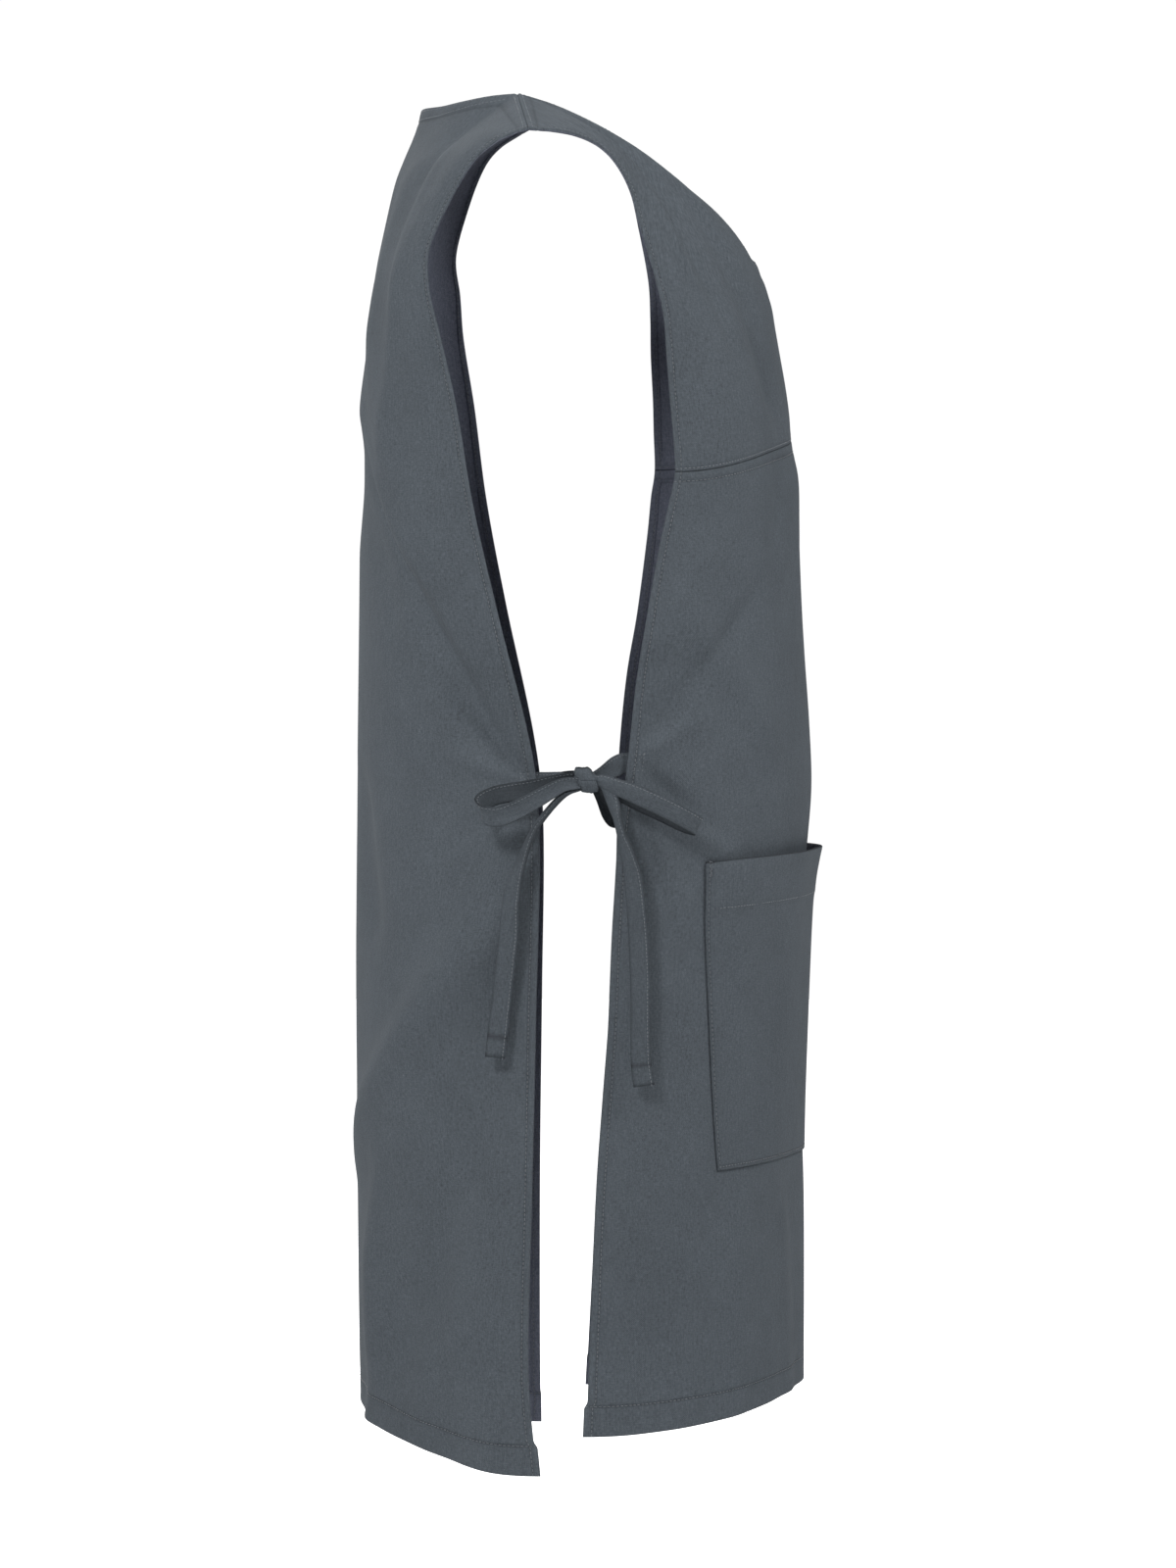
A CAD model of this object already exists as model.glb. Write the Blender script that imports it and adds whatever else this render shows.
"""Cobbler apron: cloth panels with turned hems, a gaping patch pocket, stitching and four ties in two bows.

All places are in metres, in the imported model's frame: +Z is up, the wearer faces -Y, +X is the wearer's left.
"""
import math
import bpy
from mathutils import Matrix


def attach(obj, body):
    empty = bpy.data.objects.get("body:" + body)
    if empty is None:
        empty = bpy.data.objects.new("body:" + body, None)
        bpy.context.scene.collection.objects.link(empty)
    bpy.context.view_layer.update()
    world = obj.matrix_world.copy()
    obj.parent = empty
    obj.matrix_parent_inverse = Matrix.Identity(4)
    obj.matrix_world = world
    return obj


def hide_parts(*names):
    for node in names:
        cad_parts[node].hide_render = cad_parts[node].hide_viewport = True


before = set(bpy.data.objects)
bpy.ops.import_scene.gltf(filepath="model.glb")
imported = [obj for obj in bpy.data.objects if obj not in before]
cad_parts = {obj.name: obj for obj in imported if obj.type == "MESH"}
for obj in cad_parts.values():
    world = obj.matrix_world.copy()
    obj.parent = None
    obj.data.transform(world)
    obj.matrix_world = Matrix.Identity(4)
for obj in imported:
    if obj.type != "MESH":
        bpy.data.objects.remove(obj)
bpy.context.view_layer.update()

from types import SimpleNamespace

import bpy
import numpy as np
from bpy.props import FloatProperty, FloatVectorProperty, PointerProperty
from mathutils import Vector

bl_info = {
    "name": "Cobbler Apron",
    "version": (1, 0, 0),
    "blender": (4, 5, 0),
    "location": "3D View > Sidebar > Apron",
    "description": "Makes an over-the-head work apron: panels, hems, pocket, stitching and tied ties",
    "category": "Add Mesh",
}

MM = 0.001
BODY = "root"

RIM_FLOOR = 0.14            # share of the full thickness that is left at the very edge of a cloth wall
# Grid lines of the panels, in mm: beside an edge, across a side hem, and about a hem's turned edge
RIM_STEPS = (0, 0.3, 0.8, 1.6, 2.8)
SIDE_STEPS = (0, 0.3, 0.8, 1.6, 2.8, 4.2, 5.2, 6, 6.8, 7.6, 8.1, 8.6, 9.4, 11, 13.5, 17)
HEM_STEPS = (-3, -2, -1.5, -1, -0.3, 0.3, 1, 2.2)
COLUMN_STEP = 4.4 * MM
ROW_STEP = 2.9 * MM
# Rows of stitches, from the edge or seam that they follow
NECK_ROWS = (2 * MM, 7.5 * MM)
SHOULDER_ROW = 3 * MM
CHEST_ROW = 2.2 * MM
POCKET_ROW = 2.4 * MM
TIE_ROW = 1.6 * MM
HEM_ROW_SHORT = 1.4 * MM    # the hem's row lies this much below the hem's upper edge
TIE_TURN = 13 * MM          # depth of a tail's turned end
# Grid lines of the pocket, in mm: in from its sides, down from its mouth and up from its bottom
POCKET_SIDE_STEPS = (0, 0.3, 0.8, 1.4, 2, 2.8, 4, 6, 9)
POCKET_MOUTH_STEPS = (0, 0.3, 0.8, 1.6, 3, 6, 10, 15, 20, 25, 28, 29, 30, 31, 32.5)
POCKET_BOTTOM_STEPS = (12, 9, 6, 4, 2.8, 2, 1.4, 0.8, 0.3, 0)
# Grid lines down a facing of 10 mm, and across a tie and its wrap, as shares of half their width
FACING_STEPS = (0.2, 0.6, 1.2, 2.4, 4, 5.6, 7.2, 8.4, 9.2, 9.7, 10)
TIE_STEPS = (-1, -0.965, -0.88, -0.74, -0.5, -0.25, 0, 0.25, 0.5, 0.74, 0.88, 0.965, 1)
WRAP_STEPS = (-1, -0.93, -0.8, -0.6, -0.35, -0.1, 0.15, 0.4, 0.65, 0.83, 0.95, 1)
POCKET_HALF = 0.16          # nominal half width of the pocket's cloth, for distances from its sides
WORLD_WHITE = 1.02          # background that the camera sees
FLOOR_REACH = 9.0

# Sections down the panels. at = row; middle_out, edge_out and lap = shares of the panel's reach; middle_down
# and edge_down = shares of its length; across = share of the half width. lap = how much further forward the
# left edge comes than the right one.
SECTION_COLUMNS = ("at", "middle_out", "middle_down", "edge_out", "edge_down", "across", "lap")
BACK_SECTIONS = (
    (0, 0.6, 0.009, -0.063, 0.028, 0.816, 0),
    (0.022, 0.637, 0.0264, 0.03, 0.0313, 0.826, 0),
    (0.045, 0.709, 0.0473, 0.144, 0.0384, 0.832, 0),
    (0.07, 0.763, 0.0654, 0.267, 0.052, 0.832, 0.03),
    (0.1, 0.831, 0.1015, 0.416, 0.0827, 0.832, 0.08),
    (0.125, 0.876, 0.1277, 0.53, 0.1158, 0.832, 0.125),
    (0.15, 0.922, 0.156, 0.528, 0.1442, 0.832, 0.15),
    (0.18, 0.958, 0.1832, 0.465, 0.1761, 0.832, 0.108),
    (0.23, 0.97, 0.2329, 0.366, 0.2281, 0.832, 0.078),
    (0.3, 0.976, 0.3, 0.267, 0.298, 0.837, 0.055),
    (0.38, 0.981, 0.3735, 0.114, 0.3783, 0.847, 0.028),
    (0.47, 0.99, 0.4634, -0.089, 0.4775, 0.866, 0),
    (0.53, 0.995, 0.5236, -0.139, 0.539, 0.884, 0.008),
    (0.65, 1, 0.6525, -0.117, 0.6714, 0.926, 0.022),
    (0.78, 0.994, 0.7825, -0.093, 0.8038, 0.966, 0.033),
    (0.9, 0.985, 0.8995, -0.073, 0.9255, 0.995, 0.052),
    (1, 0.975, 0.963, -0.125, 1, 1, 0.005),
)
FRONT_SECTIONS = (
    (0, 0.8066, 0.1253, 0.0415, 0.0285, 0.816, 0),
    (0.03, 0.817, 0.1302, 0.1803, 0.0316, 0.81, -0.02),
    (0.06, 0.8251, 0.1356, 0.2967, 0.0444, 0.79, -0.025),
    (0.09, 0.8388, 0.1423, 0.369, 0.0673, 0.774, -0.015),
    (0.13, 0.8525, 0.152, 0.4115, 0.0998, 0.774, -0.006),
    (0.17, 0.8645, 0.1618, 0.4607, 0.1383, 0.774, 0.012),
    (0.21, 0.877, 0.1788, 0.4902, 0.1679, 0.779, 0.035),
    (0.24, 0.8923, 0.1983, 0.4995, 0.1946, 0.784, 0.043),
    (0.28, 0.9087, 0.219, 0.5109, 0.2287, 0.792, 0.047),
    (0.32, 0.9213, 0.2397, 0.5219, 0.2555, 0.8, 0.055),
    (0.36, 0.929, 0.2609, 0.5284, 0.2838, 0.805, 0.058),
    (0.4, 0.9481, 0.2859, 0.5109, 0.3041, 0.811, 0.053),
    (0.46, 0.9552, 0.3273, 0.4781, 0.337, 0.821, 0.035),
    (0.52, 0.965, 0.3839, 0.4317, 0.3942, 0.842, 0.022),
    (0.58, 0.976, 0.4258, 0.3962, 0.444, 0.853, 0.024),
    (0.63, 0.9918, 0.4769, 0.3705, 0.4976, 0.868, 0.022),
    (0.68, 0.9989, 0.5231, 0.3404, 0.5462, 0.884, 0),
    (0.73, 0.984, 0.5681, 0.3251, 0.5973, 0.903, -0.01),
    (0.755, 0.97, 0.6, 0.316, 0.631, 0.914, -0.01),
    (0.8, 0.963, 0.6715, 0.3022, 0.7032, 0.932, -0.01),
    (0.86, 0.964, 0.7567, 0.277, 0.7786, 0.958, -0.01),
    (0.91, 0.974, 0.8321, 0.2596, 0.8394, 0.974, -0.008),
    (0.96, 0.976, 0.9063, 0.2459, 0.9148, 0.989, -0.005),
    (1, 0.975, 0.976, 0.2311, 1, 1, 0),
)

# The neckline from the middle to the shoulder seam, as shares of the neckline's own sizes
NECK_COLUMNS = ("at", "out", "down", "across")
BACK_NECKLINE = (
    (0, 1, 1, 0),
    (0.3, 0.95, 0.97, 0.31),
    (0.55, 0.765, 0.87, 0.6),
    (0.75, 0.55, 0.55, 0.81),
    (0.9, 0.26, 0.16, 0.95),
    (1, 0, 0, 1),
)
FRONT_NECKLINE = (
    (0, 1, 1, 0),
    (0.12, 0.975, 0.97, 0.22),
    (0.25, 0.915, 0.84, 0.456),
    (0.38, 0.823, 0.697, 0.652),
    (0.52, 0.7, 0.553, 0.804),
    (0.66, 0.568, 0.408, 0.902),
    (0.8, 0.384, 0.23, 0.97),
    (0.91, 0.17, 0.08, 0.995),
    (1, 0, 0, 1),
)

# Folds: side (1 the wearer's left, -1 the right, 0 both), where the line starts and ends (share of the way to
# the side edge, row), width and height as shares of the half width. Below 0 is a valley.
BACK_FOLDS = (
    (-1, 0.2, 0.3, 0.93, 0.47, 0.13, -0.032),
    (1, 0.25, 0.27, 0.93, 0.46, 0.13, -0.028),
    (-1, 0.35, 0.2, 0.8, 0.38, 0.12, 0.022),
    (-1, 0.9, 0.53, 0.35, 0.78, 0.13, 0.026),
    (1, 0.85, 0.54, 0.4, 0.75, 0.14, 0.024),
    (-1, 0.3, 0.8, 0.36, 1, 0.12, 0.026),
    (1, 0.45, 0.75, 0.52, 1, 0.13, 0.026),
    (0, 0.02, 0.14, 0.02, 0.32, 0.16, -0.016),
)
FRONT_FOLDS = (
    (-1, 0.86, 0.62, 0.5, 0.8, 0.1, 0.018),
    (1, 0.84, 0.62, 0.48, 0.78, 0.12, 0.02),
    (-1, 0.75, 0.46, 0.97, 0.56, 0.1, 0.018),
    (1, 0.3, 0.86, 0.34, 1, 0.14, 0.03),
    (-1, 0.24, 0.88, 0.2, 1, 0.12, -0.022),
    (0, 0.24, 0.3, 0.3, 0.5, 0.12, 0.014),
    (-1, 0.62, 0.06, 0.5, 0.2, 0.07, -0.012),
)
# Finer drag lines and creases that only the cloth pieces show
BACK_CREASES = (
    (-1, 0.22, 0.24, 0.99, 0.5, 0.05, -0.03),
    (-1, 0.05, 0.2, 0.7, 0.36, 0.06, 0.02),
    (-1, 0.45, 0.36, 0.92, 0.54, 0.05, 0.014),
    (-1, 0.97, 0.56, 0.1, 0.78, 0.09, 0.044),
    (-1, 0.9, 0.68, 0.3, 0.98, 0.12, -0.042),
    (-1, 0.36, 0.76, 0.28, 1, 0.06, 0.02),
    (-1, 0.9, 0.8, 0.86, 1, 0.09, 0.02),
    (-1, 0.35, 0.06, 0.3, 0.2, 0.08, 0.012),
    (-1, 0.7, 0.1, 0.45, 0.28, 0.06, 0.01),
    (1, 0.95, 0.55, 0.2, 0.72, 0.18, 0.03),
    (1, 0.3, 0.25, 0.97, 0.48, 0.06, -0.02),
    (-1, 0.98, 0.487, 0.55, 0.4, 0.03, -0.01),
    (-1, 0.98, 0.492, 0.62, 0.47, 0.026, 0.008),
    (-1, 0.98, 0.497, 0.55, 0.56, 0.032, -0.01),
    (-1, 0.97, 0.503, 0.66, 0.63, 0.03, 0.009),
    (1, 0.98, 0.487, 0.6, 0.42, 0.03, -0.008),
    (1, 0.98, 0.497, 0.6, 0.57, 0.03, -0.008),
    (-1, 0.12, 0.5, 0.3, 0.62, 0.09, -0.03),
    (1, 0.2, 0.46, 0.1, 0.66, 0.08, 0.01),
    (-1, 0.62, 0.78, 0.66, 1, 0.07, -0.012),
    (1, 0.72, 0.8, 0.74, 1, 0.07, -0.01),
    (-1, 0.55, 0.05, 0.62, 0.16, 0.06, 0.01),
    (1, 0.55, 0.05, 0.62, 0.16, 0.06, 0.01),
)
FRONT_CREASES = (
    (-1, 0.98, 0.632, 0.62, 0.7, 0.028, -0.01),
    (-1, 0.98, 0.628, 0.7, 0.6, 0.026, 0.009),
    (-1, 0.97, 0.637, 0.74, 0.76, 0.03, 0.01),
    (-1, 0.97, 0.625, 0.5, 0.5, 0.05, -0.018),
    (-1, 0.9, 0.5, 0.4, 0.64, 0.07, 0.022),
    (1, 0.98, 0.632, 0.64, 0.7, 0.03, -0.01),
    (-1, 0.8, 0.03, 0.72, 0.2, 0.035, 0.01),
    (-1, 0.72, 0.03, 0.6, 0.24, 0.03, -0.01),
    (-1, 0.5, 0.04, 0.3, 0.34, 0.07, -0.03),
    (1, 0.78, 0.03, 0.66, 0.22, 0.035, -0.01),
    (-1, 0.36, 0.37, 0.4, 0.5, 0.05, -0.01),
    (-1, 0.16, 0.38, 0.2, 0.54, 0.05, 0.01),
    (1, 0.3, 0.38, 0.3, 0.52, 0.05, -0.01),
    (-1, 0.5, 0.88, 0.54, 1, 0.06, 0.009),
    (-1, 0.78, 0.8, 0.8, 1, 0.07, -0.01),
    (-1, 0.3, 0.9, 0.22, 1, 0.06, 0.016),
    (1, 0.55, 0.88, 0.6, 1, 0.06, -0.009),
)

# Tie routes out from the knot, as shares of the strand's length: along, down, out, then turn (right angles
# out of the side plane), lean (right angles over in that plane), wide (share of the full width) and cup (how
# far the strip is bent lengthwise, share of its width).
ROUTE_COLUMNS = ("along", "down", "out", "turn", "lean", "wide", "cup")
BACK_LOOP_ROUTE = (
    (0.031, -0.008, 0.03, 0, 0, 0.62, 0.2),
    (0.138, -0.01, 0.03, 0, 0, 0.72, 0.18),
    (0.349, 0.037, 0.035, 0, 0.1, 0.9, 0.12),
    (0.533, 0.083, 0.045, 0, 0.12, 1, 0.08),
    (0.716, 0.11, 0.05, 0, 0.12, 1, 0.05),
    (0.873, 0.145, 0.055, 0, 0.14, 1, 0.03),
    (0.983, 0.215, 0.11, 0, 0.2, 1, 0),
    (0.955, 0.3, 0.175, 0, 0.25, 1, -0.04),
    (0.854, 0.33, 0.215, 0.05, 0.27, 1, -0.08),
    (0.716, 0.295, 0.225, 0.05, 0.28, 1, -0.12),
    (0.533, 0.205, 0.2, 0.05, 0.28, 0.95, -0.16),
    (0.349, 0.101, 0.165, 0, 0.28, 0.85, -0.2),
    (0.211, 0.035, 0.13, 0, 0.2, 0.72, -0.22),
    (0.046, 0.015, 0.07, 0, 0, 0.6, -0.22),
)
FRONT_LOOP_ROUTE = (
    (0.107, 0, 0.013, 0, 0, 0.6, 0.2),
    (0.152, 0.004, 0.029, 0, 0.08, 0.7, 0.16),
    (0.246, 0.043, 0.061, 0, 0.2, 0.86, 0.1),
    (0.45, 0.121, 0.1, 0, 0.27, 1, 0.05),
    (0.709, 0.242, 0.11, 0, 0.27, 1, 0.03),
    (0.908, 0.346, 0.075, 0, 0.27, 1, 0.02),
    (0.99, 0.4, 0, 0, 0.27, 1, 0),
    (0.9, 0.385, -0.07, 0, 0.27, 1, -0.02),
    (0.7, 0.29, -0.08, 0, 0.27, 1, -0.05),
    (0.45, 0.17, -0.06, 0, 0.27, 1, -0.08),
    (0.246, 0.07, -0.042, 0, 0.15, 0.86, -0.12),
    (0.152, 0.01, -0.026, 0, 0.04, 0.7, -0.16),
    (0.107, 0, -0.013, 0, 0, 0.6, -0.2),
)
BACK_TAIL_ROUTE = (
    (0.015, 0.03, 0.004, 1, 0, 0.55, 0.22),
    (0.088, 0.062, 0.025, 0.95, 0, 0.75, 0.2),
    (0.163, 0.145, 0.034, 0.9, 0, 0.9, 0.16),
    (0.216, 0.248, 0.036, 0.8, 0, 0.97, 0.12),
    (0.261, 0.382, 0.034, 0.45, 0, 1, 0.1),
    (0.283, 0.597, 0.027, 0.08, 0, 1, 0.06),
    (0.307, 0.806, 0.018, 0, 0, 1, 0.04),
    (0.329, 1, 0.015, 0, 0, 1.03, 0.03),
)
FRONT_TAIL_ROUTE = (
    (0.041, 0.001, 0, 0, 0, 0.55, 0.2),
    (0.059, 0.006, 0.004, 0, 0, 0.65, 0.2),
    (0.082, 0.05, 0.014, 0.3, 0, 0.75, 0.18),
    (0.1, 0.11, 0.024, 0.7, 0, 0.88, 0.16),
    (0.122, 0.185, 0.028, 0.7, 0, 0.97, 0.14),
    (0.151, 0.299, 0.028, 0.3, 0, 1, 0.1),
    (0.167, 0.449, 0.026, 0.05, 0, 1, 0.08),
    (0.177, 0.639, 0.026, 0, 0, 1, 0.06),
    (0.18, 0.921, 0.03, 0, 0, 1.02, 0.05),
    (0.19, 1, 0.03, 0, 0, 1.05, 0.03),
)


def length_setting(name, description, metres):
    """Property for a length"""
    return FloatProperty(name=name, description=description, default=metres, unit="LENGTH")


def share_setting(name, description, share):
    """Property for a share"""
    return FloatProperty(name=name, description=description, default=share, subtype="FACTOR")


def power_setting(name, description, watts):
    """Property for a lamp's power"""
    return FloatProperty(name=name, description=description, default=watts, unit="POWER")


def colour_setting(name, description, colour):
    """Property for a colour"""
    return FloatVectorProperty(name=name, description=description, default=colour, subtype="COLOR", size=3,
                               min=0, max=1)


class ApronCut(bpy.types.PropertyGroup):
    """Sizes that the cloth is cut to"""

    half_width: length_setting("Half width", "Middle of the body to a side edge at the hem", 0.19)
    back_reach: length_setting("Back reach", "Seam plane to the fullest part of the back", 0.101)
    front_reach: length_setting("Front reach", "Seam plane to the fullest part of the front", 0.183)
    back_length: length_setting("Back length", "Shoulder point to the corner of the back hem", 0.846)
    front_length: length_setting("Front length", "Shoulder point to the corner of the front hem", 0.822)
    chest_seam: share_setting("Chest seam", "Row of the front where the yoke meets the skirt", 0.36)
    neck_half: length_setting("Neck half width", "Middle to the neck end of a shoulder seam", 0.092)
    shoulder_half: length_setting("Shoulder half width", "Middle to the outer end of a seam", 0.155)
    shoulder_drop: length_setting("Shoulder drop", "Fall of a shoulder seam", 0.0234)
    shoulder_forward: length_setting("Shoulder forward", "How far a seam's outer end is forward", 0.007)
    far_lift: length_setting("Left shoulder lift", "The left shoulder sits this much higher", 0.009)
    back_neck_reach: length_setting("Back neck reach", "Seam plane to the back of the neckline", 0.06)
    back_neck_drop: length_setting("Back neck drop", "Fall of the neckline at the back", 0.0076)
    front_neck_reach: length_setting("Front neck reach", "Seam plane to the neckline's front", 0.1476)
    front_neck_drop: length_setting("Front neck drop", "Fall of the neckline at the front", 0.103)


class ApronCloth(bpy.types.PropertyGroup):
    """Cloth, hems, thread and their colours"""

    cloth: length_setting("Cloth", "Thickness of the twill with its nap", 0.0011)
    turning: length_setting("Turning", "Extra cloth on the inside of a hem", 0.0009)
    side_hem: length_setting("Side hem", "Width of the side hems", 0.008)
    hem_depth: length_setting("Hem depth", "Depth of the bottom hems", 0.02)
    corner_out: length_setting("Hem corners", "The bottom hem stands out past the side edge", 0.002)
    facing_depth: length_setting("Facing depth", "Width of the neckline's facing", 0.01)
    seam_tuck: length_setting("Seam tuck", "Panels run this far past a seam's middle", 0.00015)
    inset: length_setting("Stitch inset", "Topstitching's distance from an edge", 0.006)
    pitch: length_setting("Stitch pitch", "Length of one stitch with its gap", 0.0027)
    stitch: length_setting("Stitch length", "Length of thread that shows", 0.002)
    thread: length_setting("Thread radius", "Half the thread's thickness", 0.00028)
    face: colour_setting("Face", "Colour of the twill's right side", (0.0575, 0.067, 0.077))
    inside: colour_setting("Inside", "Colour of the twill's wrong side", (0.098, 0.107, 0.137))
    thread_colour: colour_setting("Thread", "Colour of the sewing thread", (0.078, 0.088, 0.1))


class ApronPocket(bpy.types.PropertyGroup):
    """Patch pocket on the front"""

    drop: length_setting("Drop", "Shoulder point to the middle of the mouth", 0.467)
    height: length_setting("Height", "Mouth to bottom", 0.19)
    corner_dip: length_setting("Corner dip", "Fall of the mouth at its corners", 0.005)
    top_across: share_setting("Top corner", "Share of the way round to the side edge", 0.713)
    bottom_across: share_setting("Bottom corner", "Share of the way round to the side edge", 0.614)
    lip: length_setting("Lip", "How far the mouth turns out", 0.0024)
    lip_fade: share_setting("Lip fade", "Share of the height over which it does", 0.12)
    slack: length_setting("Slack", "How far the pocket stands off the skirt below its mouth", 0.0046)
    gap: length_setting("Gap", "Clearance of the sewn edges over the skirt", 0.0002)
    hem: length_setting("Hem", "Depth of the turned hem at the mouth", 0.03)


class ApronTies(bpy.types.PropertyGroup):
    """Ties and their bows"""

    width: length_setting("Width", "Width of a tie", 0.012)
    cloth: length_setting("Thickness", "Thickness of a folded tie", 0.0017)
    under: length_setting("Under", "Length sewn under the panel's edge", 0.014)
    back_drop: length_setting("Back drop", "Height of the back tie under the shoulder point", 0.423)
    front_drop: length_setting("Front drop", "Height of the front tie under the shoulder", 0.411)
    knot_drop: length_setting("Knot drop", "Height of the knot under the shoulder point", 0.4214)
    knot_forward: length_setting("Knot forward", "Knot's distance before the seam plane", 0.0423)
    knot_out: length_setting("Knot out", "Knot's distance out from the panel edges", 0.019)
    knot_height: length_setting("Knot height", "Height of the knot's wrap", 0.013)
    knot_depth: length_setting("Knot depth", "Depth of the knot's wrap", 0.01)
    knot_width: length_setting("Knot width", "Width of the knot's wrap", 0.012)
    back_loop: length_setting("Back loop", "Reach of the loop towards the back", 0.065)
    front_loop: length_setting("Front loop", "Reach of the loop towards the front", 0.069)
    back_tail: length_setting("Back tail", "Drop of the tail towards the back", 0.169)
    front_tail: length_setting("Front tail", "Drop of the tail towards the front", 0.186)
    far_drop: length_setting("Left drop", "The left knot and back tie sit this much lower", 0.01)
    far_front_drop: length_setting("Left front drop", "The left front tie is sewn on lower", 0.045)


class ApronStudio(bpy.types.PropertyGroup):
    """Camera and studio light"""

    distance: length_setting("Distance", "Camera to the apron's middle", 7.0)
    elevation: FloatProperty(name="Elevation", description="Camera's height angle", default=math.radians(1.8),
                             subtype="ANGLE")
    lens: FloatProperty(name="Lens", description="Focal length in mm for a picture 36 mm high", default=256.7)
    aim_forward: length_setting("Aim forward", "Picture centre before the seam plane", 0.0435)
    aim_drop: length_setting("Aim drop", "Picture centre under the shoulder point", 0.4291)
    floor_drop: length_setting("Floor drop", "Floor under the shoulder point", 1.02)
    ambient: FloatProperty(name="Ambient", description="Strength of the light from all round", default=0.3)
    key: power_setting("Key light", "Power of the key light", 92)
    fill: power_setting("Fill light", "Power of the fill light", 19)
    top: power_setting("Top light", "Power of the top light", 44)
    rear: power_setting("Rear light", "Power of the rear light", 70)


def smooth(t):
    """Smooth step from 0 to 1"""
    t = np.clip(t, 0.0, 1.0)
    return t * t * (3.0 - 2.0 * t)


def columns_of(names, rows):
    """Table as one array for each named column"""
    return {name: np.array([row[i] for row in rows], float) for i, name in enumerate(names)}


def column(table, name, at):
    """Smooth curve through a column of a table"""
    knots, values = table["at"], table[name]
    last = len(knots) - 1
    before = np.maximum(np.arange(last + 1) - 1, 0)
    after = np.minimum(np.arange(last + 1) + 1, last)
    slopes = (values[after] - values[before]) / (knots[after] - knots[before])
    i = np.clip(np.searchsorted(knots, at, side="left") - 1, 0, last - 1)
    span = knots[i + 1] - knots[i]
    t = (at - knots[i]) / span
    rise = values[i + 1] - values[i]
    m0, m1 = slopes[i] * span, slopes[i + 1] * span
    return values[i] + t * (m0 + t * (3 * rise - 2 * m0 - m1 + t * (m0 + m1 - 2 * rise)))


def back_cut(sizes):
    """What the back panel's surface needs"""
    return finished_cut(SimpleNamespace(
        facing=1, half=sizes.half_width, reach=sizes.back_reach, length=sizes.back_length,
        sections=columns_of(SECTION_COLUMNS, BACK_SECTIONS), folds=BACK_FOLDS + BACK_CREASES,
        neckline=columns_of(NECK_COLUMNS, BACK_NECKLINE), neck_reach=sizes.back_neck_reach,
        neck_drop=sizes.back_neck_drop, neck_share=0.5, shoulder_ends=0.21, sizes=sizes, seed=3,
    ))


def front_cut(sizes):
    """What the front panels' surface needs"""
    return finished_cut(SimpleNamespace(
        facing=-1, half=sizes.half_width, reach=sizes.front_reach, length=sizes.front_length,
        sections=columns_of(SECTION_COLUMNS, FRONT_SECTIONS), folds=FRONT_FOLDS + FRONT_CREASES,
        neckline=columns_of(NECK_COLUMNS, FRONT_NECKLINE), neck_reach=sizes.front_neck_reach,
        neck_drop=sizes.front_neck_drop, neck_share=0.62, shoulder_ends=0.34, sizes=sizes, seed=8,
    ))


def finished_cut(cut):
    """Adds the lengths that the hems and stitches are measured with"""
    steps, rows = 64, 81
    at = np.linspace(0, 1, rows)
    cut.rows = at
    cut.arcs = {}
    for side in (-1, 1):
        across = side * np.linspace(0, 1, steps + 1)
        points = plain_surface(cut, across[None, :] + 0 * at[:, None], at[:, None] + 0 * across[None, :])
        cut.arcs[side] = np.linalg.norm(np.diff(points, axis=1), axis=2).sum(axis=1)
    edge = plain_surface(cut, np.full(rows, -1.0), at)
    cut.down = np.concatenate([[0], np.cumsum(np.linalg.norm(np.diff(edge, axis=0), axis=1))])
    rng = np.random.default_rng(cut.seed)
    cut.phases = rng.uniform(0, 2 * math.pi, (4, 8))
    return cut


def section_point(cut, across, at):
    """Section of a panel: an oval from its middle to its side edge"""
    side = np.where(across < 0, -1.0, 1.0)
    angle = np.abs(across) * math.pi / 2
    table = cut.sections
    middle_out = column(table, "middle_out", at) * cut.reach
    edge_out = column(table, "edge_out", at) * cut.reach
    middle_down = column(table, "middle_down", at) * cut.length
    edge_down = column(table, "edge_down", at) * cut.length
    half = column(table, "across", at) * cut.half
    lap = np.where(side > 0, column(table, "lap", at) * cut.reach * smooth(across), 0.0)
    x = half * np.sin(angle)
    y = edge_out + (middle_out - edge_out) * np.cos(angle) - lap
    z = middle_down + (edge_down - middle_down) * np.sin(angle) ** 2
    return np.stack([side * x, cut.facing * y, -z], axis=-1)


def top_point(cut, across):
    """Top edge of a panel: the neckline, then the shoulder seam"""
    sizes = cut.sizes
    side = np.where(across < 0, -1.0, 1.0)
    far = np.abs(across)
    at = np.clip(far / cut.neck_share, 0, 1)
    neck = np.stack([
        side * column(cut.neckline, "across", at) * sizes.neck_half,
        cut.facing * column(cut.neckline, "out", at) * cut.neck_reach,
        -column(cut.neckline, "down", at) * cut.neck_drop,
    ], axis=-1)
    t = (far - cut.neck_share) / (1 - cut.neck_share)
    lift = np.where(side > 0, sizes.far_lift * t, 0.0)
    seam = np.stack([
        side * (sizes.neck_half + (sizes.shoulder_half - sizes.neck_half) * t),
        -sizes.shoulder_forward * t,
        lift - sizes.shoulder_drop * t,
    ], axis=-1)
    return np.where((far < cut.neck_share)[..., None], neck, seam)


def plain_surface(cut, across, at):
    """Panel without folds: the top edge's difference from the oval section fades out down the shoulder"""
    point = section_point(cut, across, at)
    fade = np.maximum(1 - at / cut.shoulder_ends, 0) ** 3
    shift = top_point(cut, across) - section_point(cut, across, at * 0)
    return point + shift * fade[..., None]


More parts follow.
